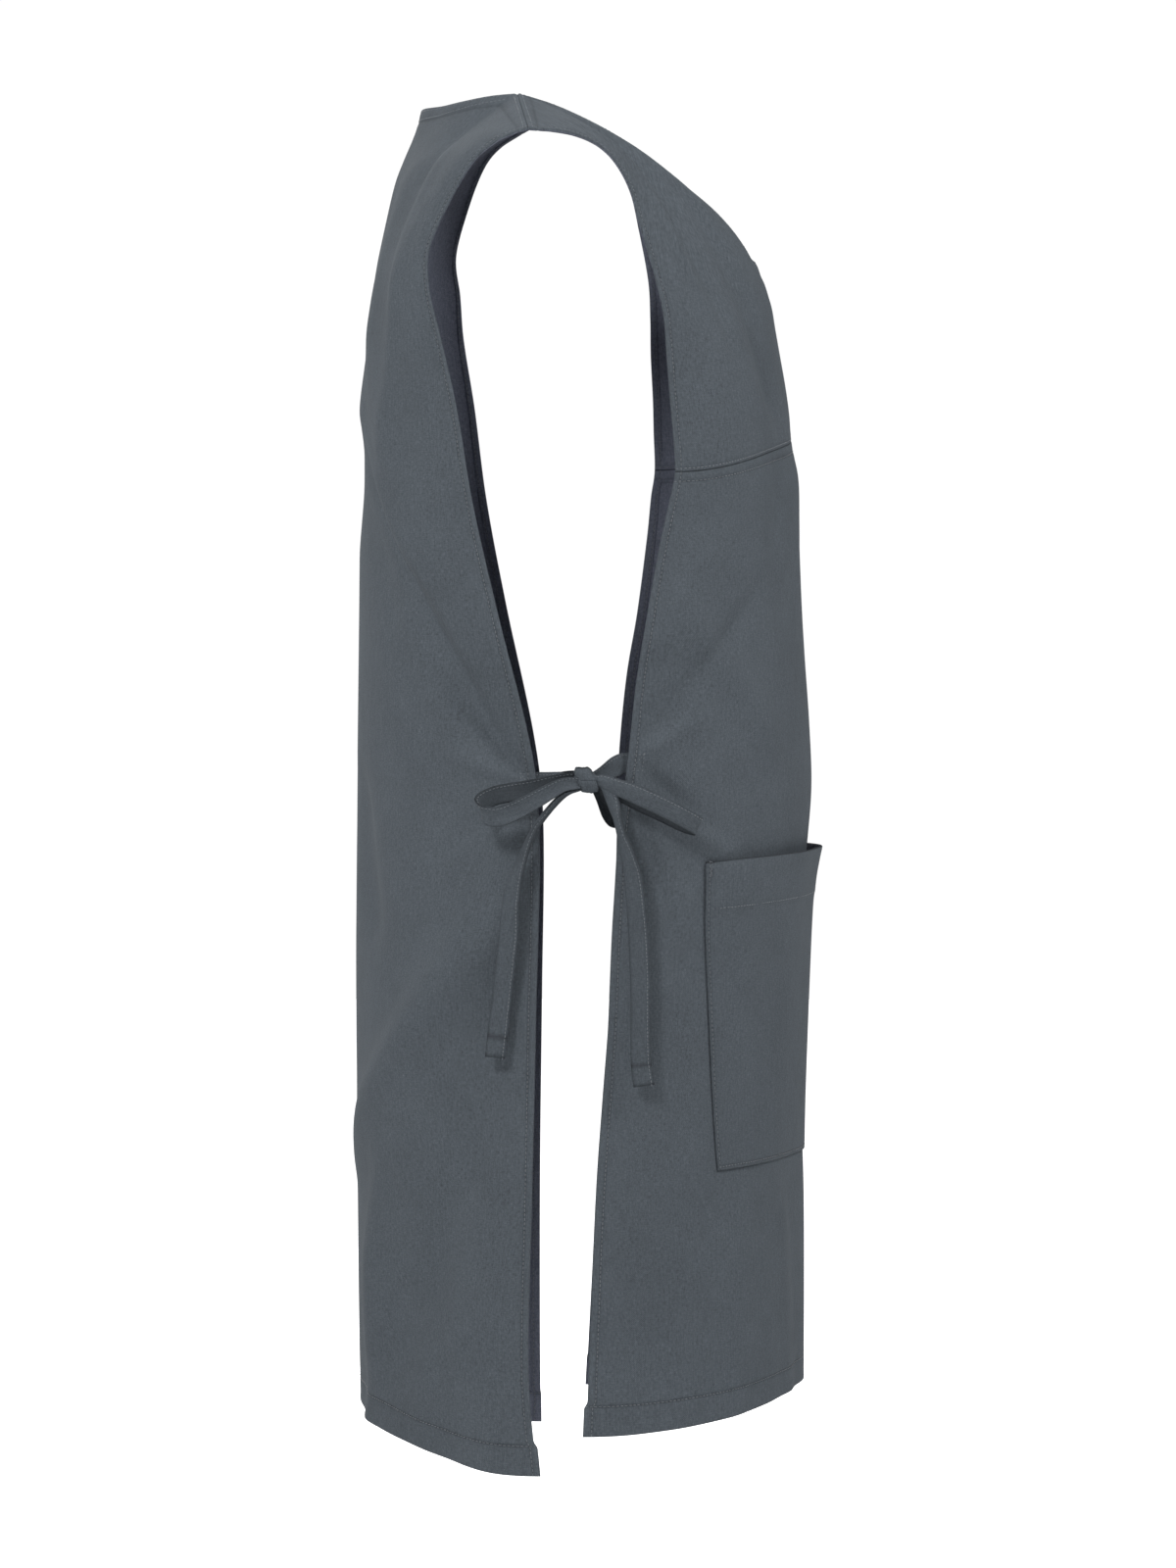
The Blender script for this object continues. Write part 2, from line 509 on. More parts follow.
def outward(surface, facing, across, at):
    """Unit vectors out of the cloth"""
    step = 0.002
    a = np.clip(across, -1 + step, 1 - step)
    b = np.clip(at, step, 1 - step)
    over = surface(a + step, b) - surface(a - step, b)
    down = surface(a, b + step) - surface(a, b - step)
    normal = np.cross(over, down)
    return normal / np.linalg.norm(normal, axis=-1, keepdims=True) * facing


def fold_height(cut, across, at):
    """Raised or sunk amount of all folds"""
    total = np.zeros(np.shape(across))
    for side, from_across, from_at, to_across, to_at, width, height in cut.folds:
        ax, ay = from_across * cut.half, from_at * cut.length
        bx, by = to_across * cut.half, to_at * cut.length
        px, py = np.abs(across) * cut.half, at * cut.length
        span = (bx - ax) ** 2 + (by - ay) ** 2
        t = ((px - ax) * (bx - ax) + (py - ay) * (by - ay)) / span
        k = np.clip(t, 0, 1)
        far = np.hypot(px - ax - k * (bx - ax), py - ay - k * (by - ay)) / (width * cut.half)
        start = smooth((t + 0.15) / 0.4)
        ends = start if to_at == 1 else start * smooth((1.15 - t) / 0.4)
        here = height * cut.half * np.exp(-far * far) * ends
        total += np.where(side * across < 0, 0.0, here)
    return total


def side_distance(cut, across, at):
    """Metres from the nearer side edge"""
    left = np.interp(at, cut.rows, cut.arcs[1])
    right = np.interp(at, cut.rows, cut.arcs[-1])
    return (1 - np.abs(across)) * np.where(across < 0, right, left)


def down_distance(cut, at):
    """Metres down the side edge from its top"""
    return np.interp(at, cut.rows, cut.down)


def row_at(cut, distance):
    """Row that lies this many metres down the side edge"""
    return np.interp(distance, cut.down, cut.rows)


def ripple(cut, along, which):
    """Small uneven waves along a sewn line, from -1 to 1"""
    total = np.zeros(np.shape(along))
    waves = ((0.0093, 0.5), (0.0137, 0.9), (0.0211, 1.0), (0.0347, 0.8))
    for k, (length, weight) in enumerate(waves):
        total += weight * np.sin(2 * math.pi * along / length + cut.phases[k, which])
    return total / 3.2


def pucker(cut, across, at):
    """Puckering of the cloth along its side hems and bottom hem"""
    side = side_distance(cut, across, at)
    down = down_distance(cut, at)
    below = cut.down[-1] - down
    over = np.abs(across) * np.interp(at, cut.rows, cut.arcs[-1])
    near_side = np.exp(-((side - 6 * MM) / (7 * MM)) ** 2)
    near_hem = np.exp(-((below - 20 * MM) / (9 * MM)) ** 2)
    sides = np.where(across < 0, ripple(cut, down + 0.4 * side, 0), ripple(cut, down + 0.4 * side, 1))
    hems = np.where(across < 0, ripple(cut, over + 0.5 * below, 2), ripple(cut, over + 0.5 * below, 3))
    return 0.16 * MM * near_side * sides + 0.26 * MM * near_hem * hems


def broad_surface(cut, across, at):
    """Panel's middle surface with its folds"""
    plain = lambda a, b: plain_surface(cut, a, b)
    height = fold_height(cut, across, at)
    return plain(across, at) + outward(plain, cut.facing, across, at) * height[..., None]


def cloth_normal(cut, across, at):
    """Outward direction; both panels share the shoulder seam's own direction beside it"""
    surface = lambda a, b: broad_surface(cut, a, b)
    normal = outward(surface, cut.facing, across, at)
    beside = smooth((np.abs(across) - cut.neck_share + 0.06) / 0.06)
    weight = (beside * smooth(1 - at / 0.03))[..., None]
    side = np.where(across < 0, -1.0, 1.0)
    sizes = cut.sizes
    fall = np.where(side > 0, sizes.shoulder_drop - sizes.far_lift, sizes.shoulder_drop)
    run = sizes.shoulder_half - sizes.neck_half
    seam = np.stack([side * fall, 0 * fall, run + 0 * fall], axis=-1)
    seam /= np.linalg.norm(seam, axis=-1, keepdims=True)
    normal = normal * (1 - weight) + seam * weight
    return normal / np.linalg.norm(normal, axis=-1, keepdims=True)


def corner_push(cut, across, at, cloth):
    """The bottom hem's corners stand out past the side edges, the right ones most"""
    below = cut.down[-1] - down_distance(cut, at)
    share = np.where(across < 0, 1, 0.25)
    on_hem = smooth((cloth.hem_depth + 2 * MM - below) / (5 * MM))
    return cloth.corner_out * share * on_hem * smooth((np.abs(across) - 0.9) / 0.1)


def cloth_place(cut, cloth, across, at):
    """Middle surface of the finished cloth and its outward direction"""
    point = broad_surface(cut, across, at)
    normal = cloth_normal(cut, across, at)
    point = point + normal * pucker(cut, across, at)[..., None]
    push = corner_push(cut, across, at, cloth)
    inner = broad_surface(cut, across * 0.98, at)
    edge = point - inner
    edge /= np.maximum(np.linalg.norm(edge, axis=-1, keepdims=True), 1e-9)
    return point + edge * push[..., None], normal


def steps_between(low, high, size):
    """Even steps from low to high, both left out"""
    count = max(int(round((high - low) / size)), 1)
    return list(low + (high - low) * np.arange(1, count) / count)


def side_lines(half_arc, step):
    """Distances of the grid lines from a side edge: close together on the hem, then even to the middle"""
    near = [d * MM for d in SIDE_STEPS]
    return near + steps_between(near[-1], half_arc, step) + [half_arc]


def row_lines(cut, start, end, top_hem, bottom_hem, step):
    """Rows of the grid: close together on the hems at both ends"""
    top, bottom = down_distance(cut, start), down_distance(cut, end)
    lines = [top + d * MM for d in RIM_STEPS] + [bottom - d * MM for d in RIM_STEPS]
    for edge, hem, way in ((top, top_hem, 1), (bottom, bottom_hem, -1)):
        lines += [edge + way * (hem + d * MM) for d in HEM_STEPS]
    low, high = top + RIM_STEPS[-1] * MM, bottom - RIM_STEPS[-1] * MM
    even = [low] + steps_between(low, high, step)
    even = [d for d in even if all(abs(d - x) > 0.45 * step for x in lines)]
    lines = np.array(sorted(lines + even))
    keep = np.concatenate([[True], np.diff(lines) > 0.15 * MM])
    return row_at(cut, lines[keep])


def panel_grid(cut, start, end, top_hem, bottom_hem):
    """Across and row values of a panel's grid"""
    rows = row_lines(cut, start, end, top_hem, bottom_hem, ROW_STEP)
    hem = SIDE_STEPS[-1] * MM
    across = []
    for side in (-1, 1):
        arc = np.interp(rows, cut.rows, cut.arcs[side])
        typical = float(arc.mean())
        lines = np.array(side_lines(typical, COLUMN_STEP))
        fixed = lines <= hem + 1e-9
        near = lines[None, :] / arc[:, None]
        rest = hem / arc[:, None] + (lines[None, :] - hem) / (typical - hem) * (1 - hem / arc[:, None])
        share = np.where(fixed[None, :], near, rest)
        across.append(side * (1 - share))
    grid = np.concatenate([across[0], across[1][:, -2::-1]], axis=1)
    return grid, np.repeat(rows[:, None], grid.shape[1], axis=1)


def rim_profile(distance, radius=0.9 * MM):
    """Share of the full thickness near a rounded edge"""
    t = 1 - np.clip(distance / radius, 0, 1)
    return np.maximum(np.sqrt(np.maximum(1 - t * t, 0)), RIM_FLOOR)


def groove(distance, line, width=0.9 * MM):
    """Dent that a row of stitches pulls into the cloth, from 0 to 1"""
    return np.exp(-((distance - line) / width) ** 2)


def grid_faces(rows, columns):
    """Quads of a closed wall: an outer sheet, an inner sheet and the rims between them"""
    index = np.arange(rows * columns).reshape(rows, columns)
    a, b = index[:-1, :-1], index[1:, :-1]
    c, d = index[1:, 1:], index[:-1, 1:]
    outer = np.stack([a, b, c, d], axis=-1).reshape(-1, 4)
    far = rows * columns
    inner = np.stack([a, d, c, b], axis=-1).reshape(-1, 4) + far
    rims = []
    for line, way in ((index[:, 0], 1), (index[:, -1], -1), (index[0, :], -1), (index[-1, :], 1)):
        quad = np.stack([line[:-1], line[:-1] + far, line[1:] + far, line[1:]], axis=-1)
        rims.append(quad[:, ::way])
    return np.concatenate([outer, inner] + rims)


def signed_volume(points, quads):
    """Volume of a closed mesh, below 0 when its faces point inwards"""
    p = points[quads]
    first = np.einsum("ij,ij->i", p[:, 0], np.cross(p[:, 1], p[:, 2]))
    second = np.einsum("ij,ij->i", p[:, 0], np.cross(p[:, 2], p[:, 3]))
    return (first.sum() + second.sum()) / 6


def add_mesh(name, parts, material):
    """Object made of closed walls.

    Each part is (outer, inner, weave, inside, wear): grids of places, of lengths along the cloth and of wear.
    inside is 1 if the inner face shows the cloth's wrong side. Wear above 0 is a rubbed edge and below 0 a
    crease; it is one grid, or one for each face.
    """
    points, quads, weaves, insides, wears = [], [], [], [], []
    start = 0
    for outer, inner, weave, inside, wear in parts:
        rows, columns = outer.shape[:2]
        these = np.concatenate([outer.reshape(-1, 3), inner.reshape(-1, 3)])
        faces = grid_faces(rows, columns)
        if signed_volume(these, faces) < 0:
            faces = faces[:, ::-1]
        points.append(these)
        quads.append(faces + start)
        weaves.append(np.concatenate([weave.reshape(-1, 2)] * 2))
        insides.append(np.concatenate([np.zeros(rows * columns), np.full(rows * columns, inside)]))
        wears.append(np.concatenate([wear.reshape(-1)] * (2 if wear.ndim == 2 else 1)))
        start += len(these)
    points, quads = np.concatenate(points), np.concatenate(quads)
    mesh = bpy.data.meshes.new(name)
    mesh.from_pydata(points.tolist(), [], quads.tolist())
    mesh.update()
    mesh.polygons.foreach_set("use_smooth", np.ones(len(mesh.polygons), bool))
    corners = np.empty(len(mesh.loops), np.int32)
    mesh.loops.foreach_get("vertex_index", corners)
    layer = mesh.uv_layers.new(name="weave")
    layer.data.foreach_set("uv", np.concatenate(weaves)[corners].astype(np.float32).ravel())
    for attribute, values in (("inside", insides), ("wear", wears)):
        data = mesh.attributes.new(attribute, "FLOAT", "POINT")
        data.data.foreach_set("value", np.concatenate(values).astype(np.float32))
    mesh.materials.append(material)
    made = bpy.data.objects.new(name, mesh)
    bpy.context.scene.collection.objects.link(made)
    return made


def weave_map(points):
    """Lengths across and down a grid, in metres"""
    over = np.linalg.norm(np.diff(points, axis=1), axis=2)
    down = np.linalg.norm(np.diff(points, axis=0), axis=2)
    u = np.concatenate([np.zeros((len(points), 1)), np.cumsum(over, axis=1)], axis=1)
    u -= u[:, u.shape[1] // 2][:, None]
    middle = down[:, down.shape[1] // 2]
    v = np.concatenate([[0], np.cumsum(middle)])
    return np.stack([u, np.repeat(-v[:, None], u.shape[1], axis=1)], axis=-1)


def cloth_wall(cut, cloth, across, at, start, end, top_hem, bottom_hem, top_line, bottom_line):
    """Outer and inner sheets of a hemmed panel"""
    points, normal = cloth_place(cut, cloth, across, at)
    side = side_distance(cut, across, at)
    down = down_distance(cut, at)
    above = down - down_distance(cut, start)
    below = down_distance(cut, end) - down
    turned = np.maximum.reduce([
        smooth((cloth.side_hem + 0.5 * MM - side) / (0.9 * MM)),
        smooth((top_hem + 0.5 * MM - above) / (0.9 * MM)),
        smooth((bottom_hem + 0.5 * MM - below) / (0.9 * MM)),
    ]) * cloth.turning
    profile = rim_profile(np.minimum.reduce([side, above, below]))
    dent = np.maximum.reduce([
        groove(side, cloth.inset), groove(above, top_line), groove(below, bottom_line, 1.1 * MM),
    ])
    puff = np.exp(-((np.minimum(side, below) - 2.6 * MM) / (2.2 * MM)) ** 2)
    thick = cloth.cloth + turned
    middle = -turned / 2
    out = middle + thick / 2 * profile - 0.34 * MM * dent + 0.2 * MM * puff
    into = middle - thick / 2 * profile + 0.2 * MM * dent
    wear = 0.8 * np.exp(-np.minimum(side, below) / (1.4 * MM)) - 0.5 * dent
    for distance in [above] * (start > 0) + [below] * (end < 1):
        wear = wear * smooth(distance / (3 * MM)) - np.exp(-((distance / (0.6 * MM)) ** 2))
    outer = points + normal * out[..., None]
    inner = points + normal * into[..., None]
    return outer, inner, weave_map(points), 1.0, wear


def row_for(cut, side, drop):
    """Row at which a side edge is this far down"""
    at = np.linspace(0, 1, 600)
    falls = -broad_surface(cut, np.full(len(at), float(side)), at)[:, 2]
    return float(np.interp(drop, falls, at))


def pocket_place(cut, cloth, pocket, share, down):
    """Pocket cloth's inner face: its place over the skirt and the way out of it"""
    reach = pocket.top_across + (pocket.bottom_across - pocket.top_across) * down
    across = share * reach
    drop = pocket.drop + down * pocket.height + pocket.corner_dip * share * share
    rows = np.linspace(0.3, 1, 90)
    flat = across.ravel()
    every_across = np.repeat(flat[:, None], len(rows), 1)
    falls = -broad_surface(cut, every_across, np.repeat(rows[None, :], flat.size, 0))[..., 2]
    at = np.array([np.interp(d, f, rows) for d, f in zip(drop.ravel(), falls)]).reshape(across.shape)
    point, normal = cloth_place(cut, cloth, across, at)
    sag = pocket.lip * np.exp(-down / pocket.lip_fade) + pocket.slack * (1 - down * down)
    wave = 1 + 0.16 * np.sin(7.5 * share + 1.1) * np.exp(-down / 0.5) + 0.1 * np.sin(13 * share + 4 * down)
    lift = cloth.cloth / 2 + pocket.gap + sag * wave * (1 - share ** 4)
    return point + normal * lift[..., None], normal


def centred_curve(points, count):
    """Centripetal curve through points, at even steps of the points' own count: places and directions"""
    p = np.asarray(points, float)
    p = np.concatenate([[2 * p[0] - p[1]], p, [2 * p[-1] - p[-2]]])
    t = np.linspace(0, 1, count) * (len(p) - 3)
    i = np.minimum(t.astype(int), len(p) - 4)
    w = (t - i)[:, None]
    a, b, c, d = p[i], p[i + 1], p[i + 2], p[i + 3]
    span = lambda q, r: np.maximum(np.linalg.norm(r - q, axis=1, keepdims=True), 1e-7) ** 0.5
    d0, d1, d2 = span(a, b), span(b, c), span(c, d)
    m1 = ((b - a) / d0 - (c - a) / (d0 + d1) + (c - b) / d1) * d1
    m2 = ((c - b) / d1 - (d - b) / (d1 + d2) + (d - c) / d2) * d1
    places = b + w * (m1 + w * (3 * (c - b) - 2 * m1 - m2 + w * (2 * (b - c) + m1 + m2)))
    ways = m1 + w * (2 * (3 * (c - b) - 2 * m1 - m2) + 3 * w * (2 * (b - c) + m1 + m2))
    return places, ways / np.linalg.norm(ways, axis=1, keepdims=True)


def ribbon(places, wides, shares, cups, ties, seed=0, blunt=(True, True), hollow=0.0):
    """Folded strip along a path, softly bent along its length: its wall, and the places of its stitches.

    blunt says which ends are rounded off, and hollow how much the face that looks into a loop darkens.
    """
    ways = np.gradient(places, axis=0)
    ways /= np.linalg.norm(ways, axis=1, keepdims=True)
    wides = wides - ways * np.einsum("ij,ij->i", wides, ways)[:, None]
    wides /= np.linalg.norm(wides, axis=1, keepdims=True)
    normals = np.cross(ways, wides)
    along = np.concatenate([[0], np.cumsum(np.linalg.norm(np.diff(places, axis=0), axis=1))])
    rng = np.random.default_rng(seed)
    phase = rng.uniform(0, 2 * math.pi, 6)
    s = np.array(TIE_STEPS)
    width = ties.width * shares * (1 + 0.02 * np.sin(along / 0.011 + phase[0]))
    bend = cups[:, None] * width[:, None] * (1 - s[None, :] ** 2)
    bend = bend + 0.28 * MM * np.sin(along / 0.0041 + phase[1])[:, None] * s[None, :]
    bend = bend + 0.3 * MM * np.sin(along / 0.0063 + phase[2])[:, None]
    edge = (1 - np.abs(s)) * ties.width / 2
    rim = rim_profile(edge, 0.8 * MM)[None, :] * np.ones((len(along), 1))
    for blunted, far in zip(blunt, (along, along[-1] - along)):
        if blunted:
            rim = np.minimum(rim, rim_profile(far, 0.8 * MM)[:, None])
    dent = groove((1 - s) * ties.width / 2, TIE_ROW)[None, :] * 0.16 * MM
    middle = places[:, None, :] + wides[:, None, :] * (s[None, :, None] * width[:, None, None] / 2)
    half = ties.cloth / 2 * rim
    outer = middle + normals[:, None, :] * (bend + half - dent)[..., None]
    inner = middle + normals[:, None, :] * (bend - half + dent)[..., None]
    weave = np.stack([np.repeat(s[None, :] * ties.width / 2, len(along), 0),
                      np.repeat(-along[:, None], len(s), 1)], axis=-1)
    wear = -1.0 * np.exp(-edge / (0.6 * MM))[None, :] * np.ones((len(along), 1))
    if blunt[1]:
        turned_end = groove(along[-1] - along, TIE_TURN, 1.1 * MM) + groove(along[-1] - along, 0, 1 * MM)
        wear = wear - 0.8 * turned_end[:, None]
    to_centre = places.mean(axis=0) - places
    facing_in = hollow * np.clip(np.einsum("ij,ij->i", normals, to_centre) / (4 * MM), -1, 1)[:, None]
    wear = np.stack([wear - np.maximum(facing_in, 0), wear - np.maximum(-facing_in, 0)])
    shift = np.interp(1 - TIE_ROW / (ties.width / 2), s, np.arange(len(s)))
    k = int(shift)
    f = shift - k
    rows = [face[:, k] * (1 - f) + face[:, k + 1] * f for face in (outer, inner)]
    return (outer, inner, weave, 0.0, wear), rows


def strand(route, knot, side, heading, length, ties, tail, seed):
    """Loop or tail out from the knot. heading is 1 towards the wearer's back and -1 towards the front."""
    table = columns_of(ROUTE_COLUMNS, route)
    points = np.stack([
        knot[0] + side * table["out"] * length,
        knot[1] + heading * table["along"] * length,
        knot[2] - table["down"] * length,
    ], axis=1)
    count = 72 if tail else 110
    places, ways = centred_curve(points, count)
    t = np.linspace(0, 1, count) * (len(points) - 1)
    pick = lambda name: np.interp(t, np.arange(len(points)), table[name])
    turn = pick("turn") * math.pi / 2
    if tail:
        flat = np.stack([0 * turn, ways[:, 2], -ways[:, 1]], axis=1)
        flat /= np.linalg.norm(flat, axis=1, keepdims=True)
        wides = flat * np.cos(turn)[:, None] + np.array([side, 0, 0]) * np.sin(turn)[:, None]
    else:
        lean = pick("lean") * math.pi / 2
        wides = np.stack([side * np.sin(turn), heading * np.sin(lean), np.cos(turn) * np.cos(lean)], axis=1)
    return ribbon(places, wides, pick("wide"), pick("cup"), ties, seed, (False, tail), 0 if tail else 0.55)


def lead(cut, cloth, ties, side, drop, end, seed, straight=0.3):
    """Part of a tie that is sewn flat under its panel's edge and runs out to the knot"""
    at = row_for(cut, side, drop)
    arc = float(np.interp(at, cut.rows, cut.arcs[side]))
    depth = cloth.cloth / 2 + cloth.turning + 0.3 * MM + ties.cloth / 2
    one = lambda a, r: broad_surface(cut, np.array([a]), np.array([r]))[0]
    wide = one(side, at - 0.01) - one(side, at + 0.01)
    wide /= np.linalg.norm(wide)
    under = np.linspace(ties.under, 0, 12)
    across = side * (1 - under / arc)
    rows = np.full(12, at)
    inside = broad_surface(cut, across, rows) - cloth_normal(cut, across, rows) * depth
    out = one(side, at) - one(side * 0.98, at)
    out /= np.linalg.norm(out)
    last = inside[-1] + out * 1 * MM
    span = np.linalg.norm(end - last)
    bend = last + out * span * straight
    t = np.linspace(0, 1, 26)[:, None]
    free = last * (1 - t) ** 2 + bend * 2 * t * (1 - t) + end * t * t
    places = np.concatenate([inside, free])
    k = np.concatenate([np.zeros(12), t[:, 0]])
    wides = wide * (1 - k)[:, None] + np.array([0, 0, 1.0]) * k[:, None]
    shares = 1.06 - 0.36 * smooth((k - 0.45) / 0.55)
    cups = 0.16 * smooth((k - 0.2) / 0.8)
    return ribbon(places, wides, shares, cups, ties, seed, blunt=(True, False))


def wrap_band(knot, side, ties):
    """The front tie's turn round the knot, tipped back at its top"""
    turns, s = 72, np.array(WRAP_STEPS)
    angle = np.linspace(0, 2 * math.pi, turns)[:, None]
    c, d = np.cos(angle), np.sin(angle)
    power = 2 / 2.6
    depth, height = ties.knot_depth / 2 - 0.2 * MM, ties.knot_height / 2 + 0.3 * MM
    roll = 0.55 * MM * (1 - s[None, :] ** 4) - 0.9 * MM * np.abs(s[None, :]) ** 6
    crease = 0.3 * MM * np.sin(3 * angle + 5.2 * s[None, :])
    crease = crease + 0.22 * MM * np.sin(5 * angle - 8 * s[None, :] + 1)
    grow = roll + crease - ties.cloth / 2
    x = np.sign(c) * np.abs(c) ** power * (depth + grow)
    z = np.sign(d) * np.abs(d) ** power * (height + grow)
    pinch = 1 - 0.13 * np.abs(np.sin(angle * 1 + 0.4)) ** 3
    y = s[None, :] * ties.knot_width / 2 * pinch + 0.42 * z
    middle = np.stack([knot[0] + side * x, knot[1] + y, knot[2] + z], axis=-1)
    outward_way = np.stack([side * c + 0 * y, -0.25 * d + 0 * y, d + 0 * y], axis=-1)
    outward_way /= np.linalg.norm(outward_way, axis=-1, keepdims=True)
    half = ties.cloth / 2 * rim_profile((1 - np.abs(s)) * ties.knot_width / 2, 0.8 * MM)[None, :, None]
    along = np.repeat(angle * ties.knot_height / 2, len(s), 1)
    weave = np.stack([np.repeat(s[None, :] * ties.knot_width / 2, turns, 0), along], axis=-1)
    return middle + outward_way * half, middle - outward_way * half, weave, 0.0, 0 * along


def knot_core(knot, side, ties):
    """The back tie's bunched cloth inside the wrap"""
    turns, steps = 40, 18
    angle = np.linspace(0, 2 * math.pi, turns)[:, None]
    t = np.linspace(-1, 1, steps)[None, :]
    length = ties.knot_width / 2 + 3.2 * MM
    swell = np.sqrt(np.maximum(1 - np.abs(t) ** 3.2, 0.004))
    folds = 1 + 0.07 * np.sin(5 * angle + 2.2 * t) + 0.05 * np.sin(8 * angle - 3 * t + 1)
    x = np.cos(angle) * (ties.knot_depth / 2 - ties.cloth) * swell * folds
    z = np.sin(angle) * (ties.knot_height / 2 - ties.cloth) * swell * folds
    y = t * length + 0 * angle
    shell = np.stack([knot[0] + side * x, knot[1] + y, knot[2] + z + 0.12 * y], axis=-1)
    centre = np.stack([knot[0] + 0 * x, knot[1] + y, knot[2] + 0.12 * y + 0 * z], axis=-1)
    weave = np.stack([angle * 4 * MM + 0 * t, y], axis=-1)
    return shell, centre + (shell - centre) * 0.3, weave, 0.0, 0 * y


def lines_mesh(name, lines):
    """Curve object of poly lines, each an array of places"""
    curve = bpy.data.curves.new(name, "CURVE")
    curve.dimensions = "3D"
    for line in lines:
        spline = curve.splines.new("POLY")
        spline.points.add(len(line) - 1)
        rows = np.concatenate([line, np.ones((len(line), 1))], axis=1)
        spline.points.foreach_set("co", rows.astype(np.float32).ravel())
    made = bpy.data.objects.new(name, curve)
    bpy.context.scene.collection.objects.link(made)
    return made


def stitch_tree():
    """Geometry Nodes tree that sets one short thread after another along curves"""
    if "stitch row" in bpy.data.node_groups:
        return bpy.data.node_groups["stitch row"]
    tree = bpy.data.node_groups.new("stitch row", "GeometryNodeTree")
    face = tree.interface
    face.new_socket("Geometry", in_out="INPUT", socket_type="NodeSocketGeometry")
    sizes = (("Pitch", 2.7 * MM), ("Length", 2 * MM), ("Thread radius", 0.28 * MM), ("Unevenness", 0.06 * MM))
    for name, size in sizes:
        socket = face.new_socket(name, in_out="INPUT", socket_type="NodeSocketFloat")
        socket.default_value = size
    face.new_socket("Seed", in_out="INPUT", socket_type="NodeSocketInt")
    face.new_socket("Thread", in_out="INPUT", socket_type="NodeSocketMaterial")
    face.new_socket("Geometry", in_out="OUTPUT", socket_type="NodeSocketGeometry")
    nodes, link = tree.nodes, tree.links.new
    entry = nodes.new("NodeGroupInput")
    points = nodes.new("GeometryNodeCurveToPoints")
    points.mode = "LENGTH"
    link(entry.outputs["Geometry"], points.inputs["Curve"])
    link(entry.outputs["Pitch"], points.inputs["Length"])
    ball = nodes.new("GeometryNodeMeshUVSphere")
    ball.inputs["Segments"].default_value = 6
    ball.inputs["Rings"].default_value = 4
    ball.inputs["Radius"].default_value = 1
    half = nodes.new("ShaderNodeMath")
    half.operation = "MULTIPLY"
    half.inputs[1].default_value = 0.5
    link(entry.outputs["Length"], half.inputs[0])
    scale = nodes.new("ShaderNodeCombineXYZ")
    link(entry.outputs["Thread radius"], scale.inputs["X"])
    link(entry.outputs["Thread radius"], scale.inputs["Y"])
    link(half.outputs[0], scale.inputs["Z"])
    shape = nodes.new("GeometryNodeTransform")
    link(ball.outputs["Mesh"], shape.inputs["Geometry"])
    link(scale.outputs[0], shape.inputs["Scale"])
    put = nodes.new("GeometryNodeInstanceOnPoints")
    link(points.outputs["Points"], put.inputs["Points"])
    link(points.outputs["Rotation"], put.inputs["Rotation"])
    link(shape.outputs["Geometry"], put.inputs["Instance"])
    spread = nodes.new("FunctionNodeRandomValue")
    spread.data_type = "FLOAT_VECTOR"
    spread.inputs["Min"].default_value = (-1, -1, -1)
    spread.inputs["Max"].default_value = (1, 1, 1)
    link(entry.outputs["Seed"], spread.inputs["Seed"])
    amount = nodes.new("ShaderNodeVectorMath")
    amount.operation = "SCALE"
    link(spread.outputs["Value"], amount.inputs[0])
    link(entry.outputs["Unevenness"], amount.inputs["Scale"])
    shift = nodes.new("GeometryNodeTranslateInstances")
    link(put.outputs["Instances"], shift.inputs["Instances"])
    link(amount.outputs["Vector"], shift.inputs["Translation"])
    real = nodes.new("GeometryNodeRealizeInstances")
    link(shift.outputs["Instances"], real.inputs["Geometry"])
    paint = nodes.new("GeometryNodeSetMaterial")
    link(real.outputs["Geometry"], paint.inputs["Geometry"])
    link(entry.outputs["Thread"], paint.inputs["Material"])
    leave = nodes.new("NodeGroupOutput")
    link(paint.outputs["Geometry"], leave.inputs["Geometry"])
    return tree


def socket_id(tree, name):
    """Identifier of a tree's named input"""
    for item in tree.interface.items_tree:
        if item.item_type == "SOCKET" and item.in_out == "INPUT" and item.name == name:
            return item.identifier
    raise KeyError(name)


def sew(name, lines, cloth, material, seed=1, pitch=None, length=None):
    """Rows of stitches along lines, as one plain mesh"""
    rails = lines_mesh(name + "_rails", lines)
    tree = stitch_tree()
    modifier = rails.modifiers.new("stitches", "NODES")
    modifier.node_group = tree
    modifier[socket_id(tree, "Pitch")] = pitch or cloth.pitch
    modifier[socket_id(tree, "Length")] = length or cloth.stitch
    modifier[socket_id(tree, "Thread radius")] = cloth.thread
    modifier[socket_id(tree, "Unevenness")] = 0.06 * MM
    modifier[socket_id(tree, "Seed")] = seed
    modifier[socket_id(tree, "Thread")] = material
    rails.data.update_tag()
    bpy.context.view_layer.update()
    mesh = bpy.data.meshes.new_from_object(rails.evaluated_get(bpy.context.evaluated_depsgraph_get()))
    if not mesh.polygons:
        raise RuntimeError("no stitches were made for " + name)
    mesh.name = name
    rails.modifiers.clear()
    bpy.data.objects.remove(rails)
    mesh.polygons.foreach_set("use_smooth", np.ones(len(mesh.polygons), bool))
    if material.name not in mesh.materials:
        mesh.materials.append(material)
    made = bpy.data.objects.new(name, mesh)
    bpy.context.scene.collection.objects.link(made)
    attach(made, BODY)
    return made


def threads_on(cut, cloth, across, at, inner=False):
    """Line of places on a panel's outer or inner face"""
    point, normal = cloth_place(cut, cloth, across, at)
    far = cloth.cloth / 2 - 0.16 * MM
    if inner:
        far = -(cloth.cloth / 2 + cloth.turning) + 0.08 * MM
    return point + normal * far


